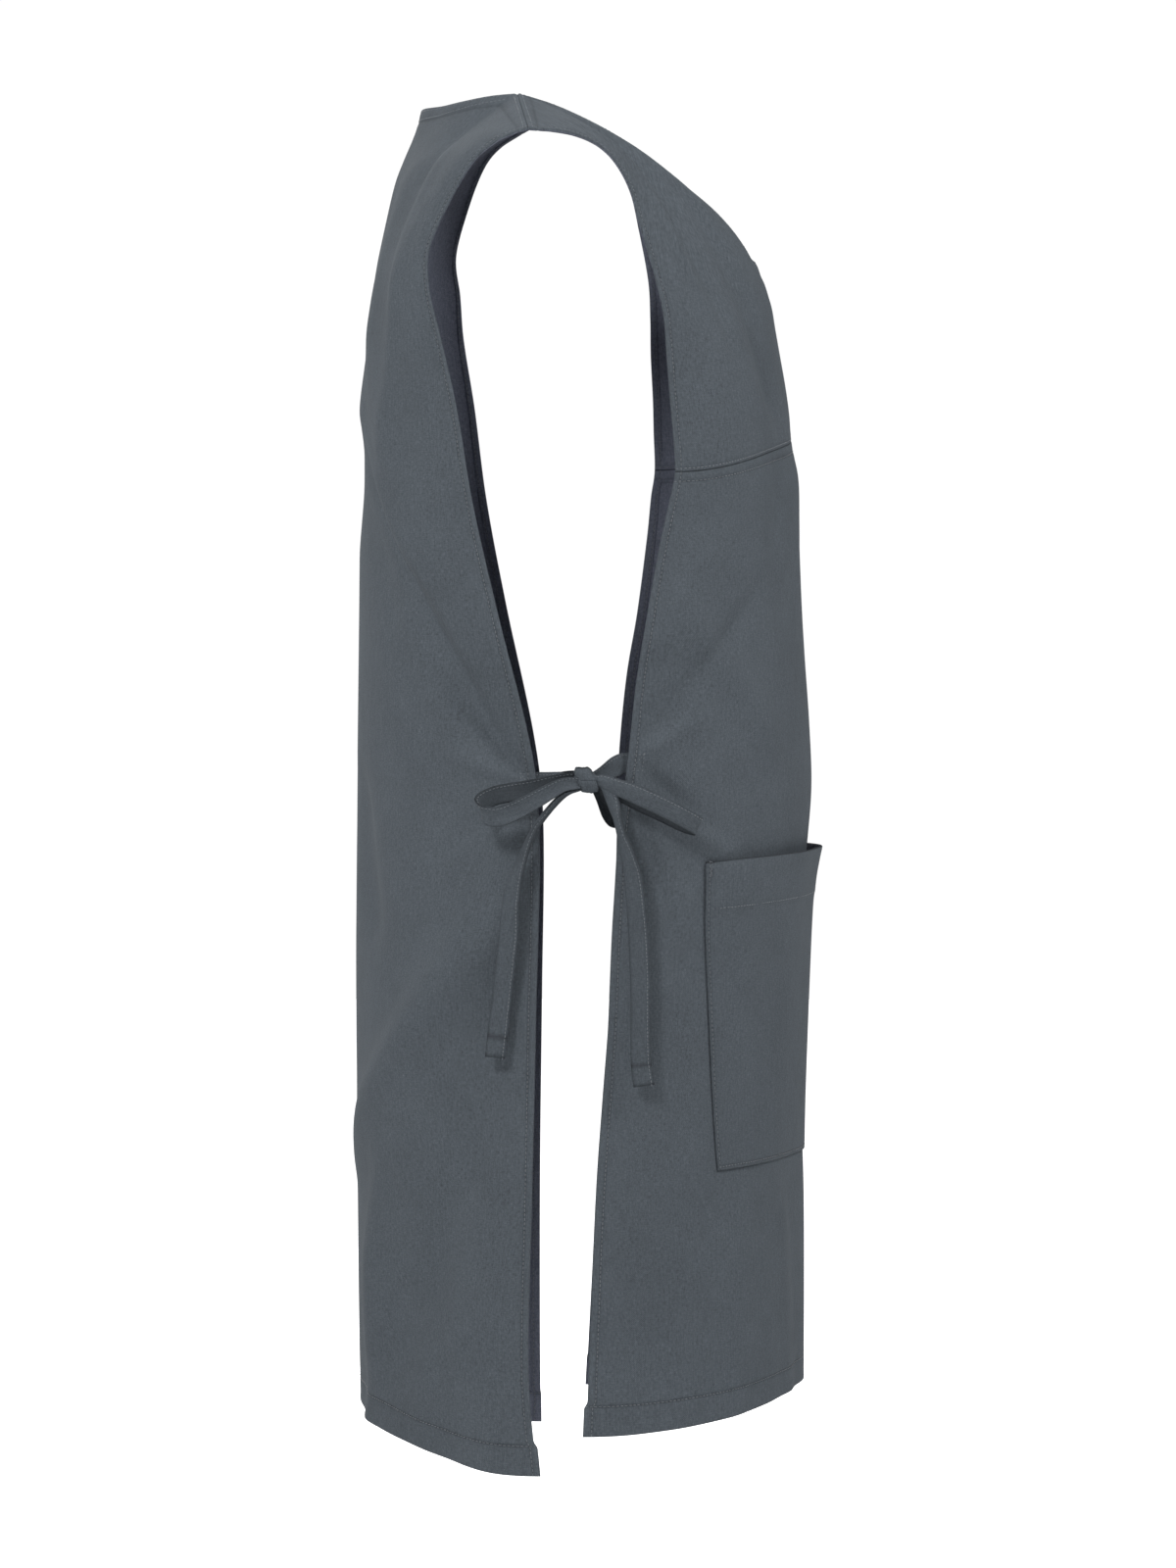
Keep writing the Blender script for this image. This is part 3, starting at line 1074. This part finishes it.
def new_material(name):
    """Node material with its shader, and quick ways to add and link nodes"""
    material = bpy.data.materials.new(name)
    material.use_nodes = True
    tree = material.node_tree
    return material, tree.nodes, tree.links.new, tree.nodes["Principled BSDF"]


def noise(nodes, link, vector, scale, detail, stretch, rough=0.55):
    """Noise pattern on a stretched copy of a vector"""
    mapping = nodes.new("ShaderNodeMapping")
    mapping.inputs["Scale"].default_value = stretch
    link(vector, mapping.inputs["Vector"])
    texture = nodes.new("ShaderNodeTexNoise")
    texture.inputs["Scale"].default_value = scale
    texture.inputs["Detail"].default_value = detail
    texture.inputs["Roughness"].default_value = rough
    link(mapping.outputs["Vector"], texture.inputs["Vector"])
    return texture.outputs["Fac"]


def math_node(nodes, link, kind, first, second):
    """Sum, product or other mix of two values, each a socket or a number"""
    node = nodes.new("ShaderNodeMath")
    node.operation = kind
    for i, value in enumerate((first, second)):
        if isinstance(value, (int, float)):
            node.inputs[i].default_value = value
        else:
            link(value, node.inputs[i])
    return node.outputs[0]


def spread(nodes, link, value, low, high, from_low=0.3, from_high=0.7):
    """Value moved from one range to another"""
    node = nodes.new("ShaderNodeMapRange")
    node.inputs["From Min"].default_value = from_low
    node.inputs["From Max"].default_value = from_high
    node.inputs["To Min"].default_value = low
    node.inputs["To Max"].default_value = high
    link(value, node.inputs["Value"])
    return node.outputs["Result"]


def twill(name, face, inside, weave=0.00056, nap=1.0):
    """Piece-dyed twill: fine diagonal ribs, uneven slubs down the cloth, soft nap and worn edges"""
    material, nodes, link, shader = new_material(name)
    place = nodes.new("ShaderNodeUVMap")
    place.uv_map = "weave"
    uv = place.outputs["UV"]
    object_place = nodes.new("ShaderNodeTexCoord").outputs["Object"]
    side = nodes.new("ShaderNodeAttribute")
    side.attribute_name = "inside"
    worn = nodes.new("ShaderNodeAttribute")
    worn.attribute_name = "wear"

    ribs = nodes.new("ShaderNodeTexWave")
    ribs.wave_type = "BANDS"
    ribs.bands_direction = "DIAGONAL"
    ribs.inputs["Scale"].default_value = 0.314 / weave
    ribs.inputs["Distortion"].default_value = 1.2
    ribs.inputs["Detail"].default_value = 1
    ribs.inputs["Detail Scale"].default_value = 1.5
    link(uv, ribs.inputs["Vector"])
    warp = noise(nodes, link, uv, 1, 3, (1500, 430, 1))
    weft = noise(nodes, link, uv, 1, 2, (420, 1500, 1))
    slub = noise(nodes, link, uv, 1, 3, (760, 80, 1), 0.6)
    soft = noise(nodes, link, object_place, 26, 3, (1, 1, 1))
    broad = noise(nodes, link, object_place, 5.5, 2, (1, 1, 0.6))

    base = nodes.new("ShaderNodeMix")
    base.data_type = "RGBA"
    base.inputs["A"].default_value = (*face, 1)
    base.inputs["B"].default_value = (*inside, 1)
    link(side.outputs["Fac"], base.inputs["Factor"])
    shade = spread(nodes, link, warp, 0.78, 1.22)
    for pattern, change, pattern_range in (
        (weft, 0.15, (0.3, 0.7)), (slub, 0.1, (0.3, 0.7)), (ribs.outputs["Fac"], 0.06, (0, 1)),
        (soft, 0.05, (0.3, 0.7)), (broad, 0.06, (0.3, 0.7)),
    ):
        factor = spread(nodes, link, pattern, 1 - change, 1 + change, *pattern_range)
        shade = math_node(nodes, link, "MULTIPLY", shade, factor)
    rubbed = math_node(nodes, link, "MAXIMUM", worn.outputs["Fac"], 0)
    rubbed = math_node(nodes, link, "MULTIPLY", rubbed, spread(nodes, link, slub, 0.0, 0.07))
    shade = math_node(nodes, link, "ADD", shade, rubbed)
    creased = math_node(nodes, link, "MINIMUM", worn.outputs["Fac"], 0)
    creased = math_node(nodes, link, "MULTIPLY", creased, spread(nodes, link, warp, 0.35, 0.6))
    shade = math_node(nodes, link, "MULTIPLY", shade, math_node(nodes, link, "ADD", creased, 1))
    tint = nodes.new("ShaderNodeVectorMath")
    tint.operation = "SCALE"
    link(base.outputs["Result"], tint.inputs[0])
    link(shade, tint.inputs["Scale"])
    link(tint.outputs["Vector"], shader.inputs["Base Color"])

    rough = spread(nodes, link, warp, 0.8, 0.93)
    link(rough, shader.inputs["Roughness"])
    shader.inputs["Specular IOR Level"].default_value = 0.12
    shader.inputs["Sheen Weight"].default_value = 0.025 * nap
    shader.inputs["Sheen Roughness"].default_value = 0.45
    shader.inputs["Sheen Tint"].default_value = (0.75, 0.82, 0.9, 1)

    fine = math_node(nodes, link, "ADD", math_node(nodes, link, "MULTIPLY", ribs.outputs["Fac"], 0.5), warp)
    fine = math_node(nodes, link, "ADD", fine, math_node(nodes, link, "MULTIPLY", weft, 0.5))
    rumple = noise(nodes, link, uv, 1, 3, (62, 44, 1), 0.5)
    broad_bump = nodes.new("ShaderNodeBump")
    broad_bump.inputs["Strength"].default_value = 0.5
    broad_bump.inputs["Distance"].default_value = 0.0012
    link(rumple, broad_bump.inputs["Height"])
    fine_bump = nodes.new("ShaderNodeBump")
    fine_bump.inputs["Strength"].default_value = 0.7
    fine_bump.inputs["Distance"].default_value = 0.00016
    link(fine, fine_bump.inputs["Height"])
    link(broad_bump.outputs["Normal"], fine_bump.inputs["Normal"])
    link(fine_bump.outputs["Normal"], shader.inputs["Normal"])
    return material


def thread(name, colour):
    """Twisted sewing thread, a little shinier than the cloth"""
    material, nodes, link, shader = new_material(name)
    place = nodes.new("ShaderNodeTexCoord").outputs["Object"]
    ply = noise(nodes, link, place, 2600, 1, (1, 1, 1))
    tone = nodes.new("ShaderNodeMix")
    tone.data_type = "RGBA"
    tone.inputs["A"].default_value = (*[c * 0.8 for c in colour], 1)
    tone.inputs["B"].default_value = (*[c * 1.3 for c in colour], 1)
    link(ply, tone.inputs["Factor"])
    link(tone.outputs["Result"], shader.inputs["Base Color"])
    link(spread(nodes, link, ply, 0.5, 0.7), shader.inputs["Roughness"])
    shader.inputs["Sheen Weight"].default_value = 0.2
    bump = nodes.new("ShaderNodeBump")
    bump.inputs["Strength"].default_value = 0.5
    bump.inputs["Distance"].default_value = 0.0001
    link(ply, bump.inputs["Height"])
    link(bump.outputs["Normal"], shader.inputs["Normal"])
    return material


def paper(name, colour):
    """Matt white studio paper"""
    material, nodes, link, shader = new_material(name)
    place = nodes.new("ShaderNodeTexCoord").outputs["Object"]
    tone = noise(nodes, link, place, 300, 2, (1, 1, 1))
    mix = nodes.new("ShaderNodeMix")
    mix.data_type = "RGBA"
    mix.inputs["A"].default_value = (*[c * 0.99 for c in colour], 1)
    mix.inputs["B"].default_value = (*colour, 1)
    link(tone, mix.inputs["Factor"])
    link(mix.outputs["Result"], shader.inputs["Base Color"])
    shader.inputs["Roughness"].default_value = 0.95
    shader.inputs["Emission Color"].default_value = (1, 1, 1, 1)
    rays = nodes.new("ShaderNodeLightPath")
    link(rays.outputs["Is Camera Ray"], shader.inputs["Emission Strength"])
    return material


def shared(name, maker, *values, **named):
    """Material of this name, made once"""
    return bpy.data.materials.get(name) or maker(name, *values, **named)


def panel_twill(cloth):
    """Right side and wrong side of the panels and the pocket"""
    return shared("slate_twill", twill, tuple(cloth.face), tuple(cloth.inside))


def facing_twill(cloth):
    """The facings, with the cloth's wrong side out"""
    return shared("slate_twill_inside", twill, tuple(cloth.inside), tuple(cloth.inside))


def tie_twill(cloth):
    """The folded ties, a little darker and smoother than the panels"""
    return shared("slate_tie_cloth", twill, tuple(c * 0.93 for c in cloth.face), tuple(cloth.inside),
                  weave=0.0005, nap=0.8)


def sewing_thread(cloth):
    """Thread of all the stitches"""
    return shared("slate_thread", thread, tuple(cloth.thread_colour))


def rough_area(points):
    """Area of a grid of places"""
    a = points[1:, 1:] - points[:-1, :-1]
    b = points[1:, :-1] - points[:-1, 1:]
    return float(np.linalg.norm(np.cross(a, b), axis=-1).sum() / 2)


def finish_sheet(made, node, parts):
    """Declares a piece as cloth cut to its own size and puts it in its node's place"""
    area = sum(rough_area((outer + inner) / 2) for outer, inner, *_ in parts)
    width = float(np.ptp(parts[0][2][..., 0]))
    length = sum(float(np.ptp(weave[..., 1])) for _, _, weave, _, _ in parts)
    length = max(length, area / width * 1.02, 12 * MM)
    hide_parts(node)
    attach(made, BODY)


def settings_of(context):
    """The add-on's settings"""
    scene = context.scene
    return scene.apron_cut, scene.apron_cloth, scene.apron_pocket, scene.apron_ties, scene.apron_studio


def side_stitches(cut, cloth, start, end, inner=False):
    """Stitch lines down both side hems"""
    lines = []
    top, bottom = down_distance(cut, start) + 1 * MM, down_distance(cut, end) - 1 * MM
    rows = row_at(cut, np.arange(top, bottom, 1.2 * MM))
    for side in (-1, 1):
        arc = np.interp(rows, cut.rows, cut.arcs[side])
        lines.append(threads_on(cut, cloth, side * (1 - cloth.inset / arc), rows, inner))
    return lines


def level_stitches(cut, cloth, at, inner=False):
    """Stitch line across a panel along one row, to just short of its edges"""
    reach = 1 - 1.5 * MM / float(np.interp(at, cut.rows, cut.arcs[-1]))
    across = np.linspace(-reach, reach, 520)
    return threads_on(cut, cloth, across, np.full(len(across), at), inner)


def top_rows(cut, across, distance):
    """Row that lies this far down from a panel's top edge, for each place across"""
    rows = np.linspace(0, 0.05, 14)
    every_across = np.repeat(across[:, None], len(rows), 1)
    points = broad_surface(cut, every_across, np.repeat(rows[None, :], len(across), 0))
    steps = np.linalg.norm(np.diff(points, axis=1), axis=2)
    lengths = np.concatenate([np.zeros((len(across), 1)), np.cumsum(steps, axis=1)], axis=1)
    return np.array([np.interp(distance, row, rows) for row in lengths])


def neck_stitches(cut, cloth, distance):
    """Stitch line along a panel's part of the neckline"""
    across = np.linspace(-cut.neck_share, cut.neck_share, 300)
    return threads_on(cut, cloth, across, top_rows(cut, across, distance))


def seam_stitches(cut, cloth, distance):
    """Stitch lines beside both shoulder seams"""
    lines = []
    for side in (-1, 1):
        across = side * np.linspace(cut.neck_share + 0.01, 0.99, 80)
        lines.append(threads_on(cut, cloth, across, top_rows(cut, across, distance)))
    return lines


def make_panel(cut, cloth, node, start, end, hems, lines, levels, seed, shoulders):
    """A panel's cloth and its rows of stitches, outside and inside"""
    across, at = panel_grid(cut, start, end, *hems)
    part = cloth_wall(cut, cloth, across, at, start, end, *hems, *lines)
    made = add_mesh(node + "_cloth", [part], panel_twill(cloth))
    finish_sheet(made, node, [part])
    outer = side_stitches(cut, cloth, start, end) + [level_stitches(cut, cloth, row) for row in levels]
    if shoulders:
        outer += [neck_stitches(cut, cloth, distance) for distance in NECK_ROWS]
        outer += seam_stitches(cut, cloth, SHOULDER_ROW)
    inner = side_stitches(cut, cloth, start, end, True) + [level_stitches(cut, cloth, levels[0], True)]
    sew(node + "_stitches", outer, cloth, sewing_thread(cloth), seed)
    sew(node + "_inner_stitches", inner, cloth, sewing_thread(cloth), seed + 1)


class APRON_OT_stage(bpy.types.Operator):
    """Adds the white floor, the soft studio light and the camera"""

    bl_idname = "apron.stage"
    bl_label = "Studio"

    def execute(self, context):
        studio = context.scene.apron_studio
        spots = np.linspace(-FLOOR_REACH, FLOOR_REACH, 13)
        count = len(spots)
        places = [(x, y, -studio.floor_drop) for x in spots for y in spots]
        faces = [(a, a + count, a + count + 1, a + 1)
                 for r in range(count - 1) for a in range(r * count, (r + 1) * count - 1)]
        mesh = bpy.data.meshes.new("studio_floor")
        mesh.from_pydata(places, [], faces)
        mesh.update()
        mesh.materials.append(shared("white_paper", paper, (0.93, 0.93, 0.93)))
        floor = bpy.data.objects.new("studio_floor", mesh)
        context.scene.collection.objects.link(floor)

        world = bpy.data.worlds.new("studio")
        world.use_nodes = True
        background = world.node_tree.nodes["Background"]
        background.inputs["Color"].default_value = (1, 1, 1, 1)
        rays = world.node_tree.nodes.new("ShaderNodeLightPath")
        glow = world.node_tree.nodes.new("ShaderNodeMapRange")
        glow.inputs["To Min"].default_value = studio.ambient
        glow.inputs["To Max"].default_value = WORLD_WHITE
        world.node_tree.links.new(rays.outputs["Is Camera Ray"], glow.inputs["Value"])
        world.node_tree.links.new(glow.outputs["Result"], background.inputs["Strength"])
        context.scene.world = world
        context.scene.view_settings.view_transform = "Standard"

        aim = Vector((0, -studio.aim_forward, -studio.aim_drop))
        # name, place, size and power of each lamp
        lights = (
            ("key_light", (-3.5, 1.2, 1.7), 0.8, studio.key),
            ("fill_light", (-0.6, 1.3, 1.0), 0.8, studio.fill),
            ("rear_light", (3.2, 1.2, 1.8), 2.4, studio.rear),
            ("top_light", (-0.7, -1.6, 1.2), 1.0, studio.top),
        )
        for name, place, size, power in lights:
            lamp = bpy.data.lights.new(name, "AREA")
            lamp.shape = "DISK"
            lamp.size = size
            lamp.energy = power
            made = bpy.data.objects.new(name, lamp)
            made.location = place
            made.rotation_euler = (aim - Vector(place)).to_track_quat("-Z", "Y").to_euler()
            context.scene.collection.objects.link(made)

        camera = bpy.data.cameras.new("camera")
        camera.sensor_fit = "VERTICAL"
        camera.sensor_height = 36
        camera.lens = studio.lens
        camera.clip_end = 60
        eye = bpy.data.objects.new("camera", camera)
        lean = studio.elevation
        eye.location = aim + Vector((-math.cos(lean), 0, math.sin(lean))) * studio.distance
        eye.rotation_euler = (math.pi / 2 - lean, 0, -math.pi / 2)
        context.scene.collection.objects.link(eye)
        context.scene.camera = eye
        return {"FINISHED"}


class APRON_OT_back_panel(bpy.types.Operator):
    """Makes the back panel with its turned hems and stitching"""

    bl_idname = "apron.back_panel"
    bl_label = "Back panel"

    def execute(self, context):
        sizes, cloth, _, _, _ = settings_of(context)
        cut = back_cut(sizes)
        hem_line = cloth.hem_depth - HEM_ROW_SHORT
        hem_row = float(row_at(cut, cut.down[-1] - hem_line))
        make_panel(cut, cloth, "back_panel", -cloth.seam_tuck / cut.down[-1], 1.0,
                   (cloth.side_hem, cloth.hem_depth), (cloth.inset, hem_line), [hem_row], 11, True)
        return {"FINISHED"}


class APRON_OT_front_yoke(bpy.types.Operator):
    """Makes the front yoke, from the shoulder seams to the chest seam"""

    bl_idname = "apron.front_yoke"
    bl_label = "Front yoke"

    def execute(self, context):
        sizes, cloth, _, _, _ = settings_of(context)
        cut = front_cut(sizes)
        start = -cloth.seam_tuck / cut.down[-1]
        end = sizes.chest_seam - start
        seam_row = float(row_at(cut, down_distance(cut, end) - CHEST_ROW))
        make_panel(cut, cloth, "front_yoke", start, end, (cloth.side_hem, cloth.side_hem),
                   (cloth.inset, CHEST_ROW), [seam_row], 21, True)
        return {"FINISHED"}


class APRON_OT_front_skirt(bpy.types.Operator):
    """Makes the front skirt, from the chest seam to the hem"""

    bl_idname = "apron.front_skirt"
    bl_label = "Front skirt"

    def execute(self, context):
        sizes, cloth, _, _, _ = settings_of(context)
        cut = front_cut(sizes)
        start = sizes.chest_seam - cloth.seam_tuck / cut.down[-1]
        hem_line = cloth.hem_depth - HEM_ROW_SHORT
        hem_row = float(row_at(cut, cut.down[-1] - hem_line))
        seam_row = float(row_at(cut, down_distance(cut, start) + cloth.inset))
        make_panel(cut, cloth, "front_skirt", start, 1.0, (cloth.side_hem, cloth.hem_depth),
                   (cloth.inset, hem_line), [hem_row, seam_row], 31, False)
        return {"FINISHED"}


class APRON_OT_pocket(bpy.types.Operator):
    """Makes the gaping patch pocket on the front skirt"""

    bl_idname = "apron.pocket"
    bl_label = "Pocket"

    def execute(self, context):
        sizes, cloth, pocket, _, _ = settings_of(context)
        cut = front_cut(sizes)
        edge = np.array(POCKET_SIDE_STEPS) * MM
        side = 1 - edge / POCKET_HALF
        share = np.concatenate([-side, np.linspace(-side[-1], side[-1], 74)[1:-1], side[::-1]])
        mouth = np.array(POCKET_MOUTH_STEPS) * MM
        low = np.array(POCKET_BOTTOM_STEPS) * MM
        even = np.linspace(mouth[-1], pocket.height - low[0], 40)[1:-1]
        down = np.concatenate([mouth, even, pocket.height - low]) / pocket.height
        share, down = np.meshgrid(share, down)
        inner_face, normal = pocket_place(cut, cloth, pocket, share, down)
        from_side = (1 - np.abs(share)) * POCKET_HALF
        from_top = down * pocket.height
        from_bottom = (1 - down) * pocket.height
        hem = smooth((pocket.hem + 2 * MM - from_top) / (4 * MM)) * cloth.turning * 0.5
        profile = rim_profile(np.minimum.reduce([from_side, from_top, from_bottom]))
        dent = np.maximum.reduce([
            groove(from_side, POCKET_ROW), groove(from_bottom, POCKET_ROW),
            0.3 * groove(from_top, pocket.hem - 1 * MM),
        ])
        thick = cloth.cloth + hem
        ripples = 0.14 * MM * ripple(cut, from_top * 0.9 + share * 0.11, 4) * np.exp(-(
            (np.abs(from_top - pocket.hem) / (9 * MM)) ** 2))
        near_side = np.exp(-(from_side / (8 * MM)) ** 2)
        ripples += 0.12 * MM * ripple(cut, from_top + 0.3 * from_side, 5) * near_side
        middle = inner_face + normal * (thick / 2 + np.maximum(ripples, -0.1 * MM))[..., None]
        half_thick = thick / 2 * profile
        outer = middle + normal * (half_thick - 0.22 * MM * dent)[..., None]
        inner = middle - normal * half_thick[..., None]
        wear = np.exp(-((from_top / MM - 2.2) / 1.2) ** 2) - 1.6 * np.exp(-((from_top / (0.8 * MM)) ** 2))
        wear = wear - 0.55 * dent
        tacked = np.exp(-(((from_side / MM - 3.7) / 0.8) ** 2)) * smooth((11 * MM - from_top) / (3 * MM))
        wear = wear - 1.1 * tacked
        wear = wear - 0.5 * np.exp(-((np.minimum(from_side, from_bottom) / (0.6 * MM)) ** 2))
        part = (outer, inner, weave_map(middle), 1.0, wear)
        made = add_mesh("front_pocket_cloth", [part], panel_twill(cloth))
        finish_sheet(made, "front_pocket", [part])

        def line(shares, downs, sunk=0.0):
            """Places of a thread on the pocket's face"""
            face, way = pocket_place(cut, cloth, pocket, shares, downs)
            turned = smooth((pocket.hem + 2 * MM - downs * pocket.height) / (4 * MM)) * cloth.turning * 0.5
            return face + way * (cloth.cloth + turned - 0.14 * MM - sunk)[..., None]

        t = np.linspace(0, 1, 150)
        lines = []
        s = 1 - POCKET_ROW / POCKET_HALF
        bottom = 1 - POCKET_ROW / pocket.height
        for way in (-1, 1):
            lines.append(line(way * s + 0 * t, t * bottom))
        lines.append(line(np.linspace(-s, s, 260), np.full(260, bottom)))
        depth = (pocket.hem - 1 * MM) / pocket.height
        top = line(np.linspace(-0.985, 0.985, 280), np.full(280, depth), 0.05 * MM)
        lines.append(top)
        sew("front_pocket_stitches", lines, cloth, sewing_thread(cloth), 41)
        tacks = []
        for way in (-1, 1):
            k = np.linspace(0, 1, 15)
            zigzag = np.where(np.arange(len(k)) % 2 == 0, 3.1 * MM, 4.3 * MM)
            tacks.append(line(way * (1 - zigzag / POCKET_HALF), k * 9 * MM / pocket.height, 0.1 * MM))
        sew("front_pocket_tacks", tacks, cloth, sewing_thread(cloth), 42, pitch=1.1 * MM, length=1.4 * MM)
        return {"FINISHED"}


class APRON_OT_facings(bpy.types.Operator):
    """Makes the narrow facings inside the neckline"""

    bl_idname = "apron.facings"
    bl_label = "Neckline facings"

    def execute(self, context):
        sizes, cloth, _, _, _ = settings_of(context)
        for name, cut, seed in (("back", back_cut(sizes), 51), ("front", front_cut(sizes), 52)):
            reach = cut.neck_share + 0.03
            across = np.linspace(-reach, reach, 150)
            depths = np.array(FACING_STEPS) * MM
            depths = depths * cloth.facing_depth / (10 * MM)
            rows = np.stack([top_rows(cut, across, d) for d in depths])
            wide = np.repeat(across[None, :], len(depths), 0)
            points, normal = cloth_place(cut, cloth, wide, rows)
            profile = rim_profile(np.minimum(depths, depths[-1] - depths + 0.2 * MM))[:, None]
            profile = profile * np.minimum(1, np.sqrt((reach - np.abs(across)) / 0.02) + RIM_FLOOR)[None, :]
            near = cloth.cloth / 2 + cloth.turning + 0.35 * MM
            middle = points - normal * (near + cloth.cloth / 2)
            middle = middle - normal * (0.12 * MM * ripple(cut, across * 0.3, 6))[None, :, None]
            half = cloth.cloth / 2 * profile
            wear = np.repeat(np.exp(-(cloth.facing_depth - depths) / (1 * MM))[:, None], len(across), 1)
            part = (middle + normal * half[..., None], middle - normal * half[..., None],
                    weave_map(middle), 0.0, wear)
            made = add_mesh(name + "_neck_facing_cloth", [part], facing_twill(cloth))
            finish_sheet(made, name + "_neck_facing", [part])
            spots = np.linspace(-cut.neck_share, cut.neck_share, 300)
            lines = []
            for distance in NECK_ROWS:
                point, way = cloth_place(cut, cloth, spots, top_rows(cut, spots, distance))
                lines.append(point - way * (near + cloth.cloth - 0.05 * MM))
            sew(name + "_neck_facing_stitches", lines, cloth, sewing_thread(cloth), seed)
        return {"FINISHED"}


class APRON_OT_ties(bpy.types.Operator):
    """Makes the four ties, tied in a bow at each side"""

    bl_idname = "apron.ties"
    bl_label = "Ties"

    def execute(self, context):
        sizes, cloth, _, ties, _ = settings_of(context)
        back, front = back_cut(sizes), front_cut(sizes)
        for name, side, seed in (("right", -1, 61), ("left", 1, 71)):
            lower = ties.far_drop if side > 0 else 0
            front_lower = ties.far_front_drop if side > 0 else 0
            drops = {"back": ties.back_drop + lower, "front": ties.front_drop + front_lower}
            edges = [
                abs(broad_surface(cut, np.array([float(side)]), np.array([row_for(cut, side, drop)]))[0, 0])
                for cut, drop in ((back, drops["back"]), (front, drops["front"]))
            ]
            knot_out = side * (max(edges) + ties.knot_out)
            knot = np.array([knot_out, -ties.knot_forward, -ties.knot_drop - lower])
            core_depth = ties.knot_depth - 2 * ties.cloth
            ends = {
                "back": knot + np.array([-side * core_depth * 0.2, ties.knot_width / 2 - 1 * MM, 0]),
                "front": knot + np.array([-side * (ties.knot_depth - ties.cloth) / 2,
                                          -ties.knot_width / 2 + 2 * MM, 0.5 * MM]),
            }
            made_lines = {"back": [], "front": []}
            parts = {"back": [], "front": []}

            def take(which, result):
                """Keeps a strip's wall and its rows of stitches"""
                parts[which].append(result[0])
                made_lines[which].extend(result[1])

            take("back", lead(back, cloth, ties, side, drops["back"], ends["back"], seed))
            take("back", strand(FRONT_LOOP_ROUTE, knot, side, -1, ties.front_loop, ties, False, seed + 1))
            take("back", strand(FRONT_TAIL_ROUTE, knot, side, -1, ties.front_tail, ties, True, seed + 2))
            parts["back"].append(knot_core(knot, side, ties))
            take("front", lead(front, cloth, ties, side, drops["front"], ends["front"], seed + 3, 0.14))
            take("front", strand(BACK_LOOP_ROUTE, knot, side, 1, ties.back_loop, ties, False, seed + 4))
            take("front", strand(BACK_TAIL_ROUTE, knot, side, 1, ties.back_tail, ties, True, seed + 5))
            parts["front"].append(wrap_band(knot, side, ties))
            for which in ("back", "front"):
                node = name + "_" + which + "_tie"
                made = add_mesh(node + "_cloth", parts[which], tie_twill(cloth))
                finish_sheet(made, node, parts[which])
                sew(node + "_stitches", made_lines[which], cloth, sewing_thread(cloth), seed + 8,
                    pitch=2.3 * MM, length=1.7 * MM)
        return {"FINISHED"}


class APRON_OT_tie_tacks(bpy.types.Operator):
    """Sews the boxes with crosses that hold the ties to the panels"""

    bl_idname = "apron.tie_tacks"
    bl_label = "Tie tacks"

    def execute(self, context):
        sizes, cloth, _, ties, _ = settings_of(context)
        lines = []
        for cut, drop, far_lower in ((back_cut(sizes), ties.back_drop, ties.far_drop),
                                     (front_cut(sizes), ties.front_drop, ties.far_front_drop)):
            for side in (-1, 1):
                lower = far_lower if side > 0 else 0
                at = row_for(cut, side, drop + lower)
                arc = float(np.interp(at, cut.rows, cut.arcs[side]))
                near, far, up = 2.2 * MM, ties.under - 2 * MM, (ties.width - 2 * MM) / 2
                corners = [(near, -up), (far, -up), (far, up), (near, up), (near, -up), (far, up), (far, -up),
                           (near, up)]
                for (d0, v0), (d1, v1) in zip(corners[:-1], corners[1:]):
                    t = np.linspace(0, 1, 12)
                    across = side * (1 - (d0 + (d1 - d0) * t) / arc)
                    rows = at + (v0 + (v1 - v0) * t) / cut.down[-1]
                    lines.append(threads_on(cut, cloth, across, rows))
        sew("tie_tack_stitches", lines, cloth, sewing_thread(cloth), 81, pitch=2.1 * MM, length=1.7 * MM)
        return {"FINISHED"}


class APRON_PT_panel(bpy.types.Panel):
    """Sizes and steps of the apron"""

    bl_idname = "APRON_PT_panel"
    bl_label = "Apron"
    bl_space_type = "VIEW_3D"
    bl_region_type = "UI"
    bl_category = "Apron"

    def draw(self, context):
        scene = context.scene
        for title, group in (("Cut", scene.apron_cut), ("Cloth", scene.apron_cloth),
                             ("Pocket", scene.apron_pocket), ("Ties", scene.apron_ties),
                             ("Studio", scene.apron_studio)):
            box = self.layout.box()
            box.label(text=title)
            for name in group.bl_rna.properties.keys():
                if name not in ("rna_type", "name"):
                    box.prop(group, name)
        for step in STEPS:
            self.layout.operator(step.bl_idname)


GROUPS = (ApronCut, ApronCloth, ApronPocket, ApronTies, ApronStudio)
STEPS = (
    APRON_OT_stage,
    APRON_OT_back_panel,
    APRON_OT_front_yoke,
    APRON_OT_front_skirt,
    APRON_OT_pocket,
    APRON_OT_facings,
    APRON_OT_ties,
    APRON_OT_tie_tacks,
)


def register():
    """Adds the settings, the steps and the panel to Blender"""
    for group in GROUPS + STEPS + (APRON_PT_panel,):
        bpy.utils.register_class(group)
    bpy.types.Scene.apron_cut = PointerProperty(type=ApronCut)
    bpy.types.Scene.apron_cloth = PointerProperty(type=ApronCloth)
    bpy.types.Scene.apron_pocket = PointerProperty(type=ApronPocket)
    bpy.types.Scene.apron_ties = PointerProperty(type=ApronTies)
    bpy.types.Scene.apron_studio = PointerProperty(type=ApronStudio)


def unregister():
    """Takes them out again"""
    for name in ("apron_cut", "apron_cloth", "apron_pocket", "apron_ties", "apron_studio"):
        delattr(bpy.types.Scene, name)
    for group in reversed(GROUPS + STEPS + (APRON_PT_panel,)):
        bpy.utils.unregister_class(group)


def main():
    """Makes the apron step by step and notes the size of the solids and of the finished pieces"""
    register()
    for step in STEPS:
        family, name = step.bl_idname.split(".")
        getattr(getattr(bpy.ops, family), name)()


if __name__ == "__main__":
    main()
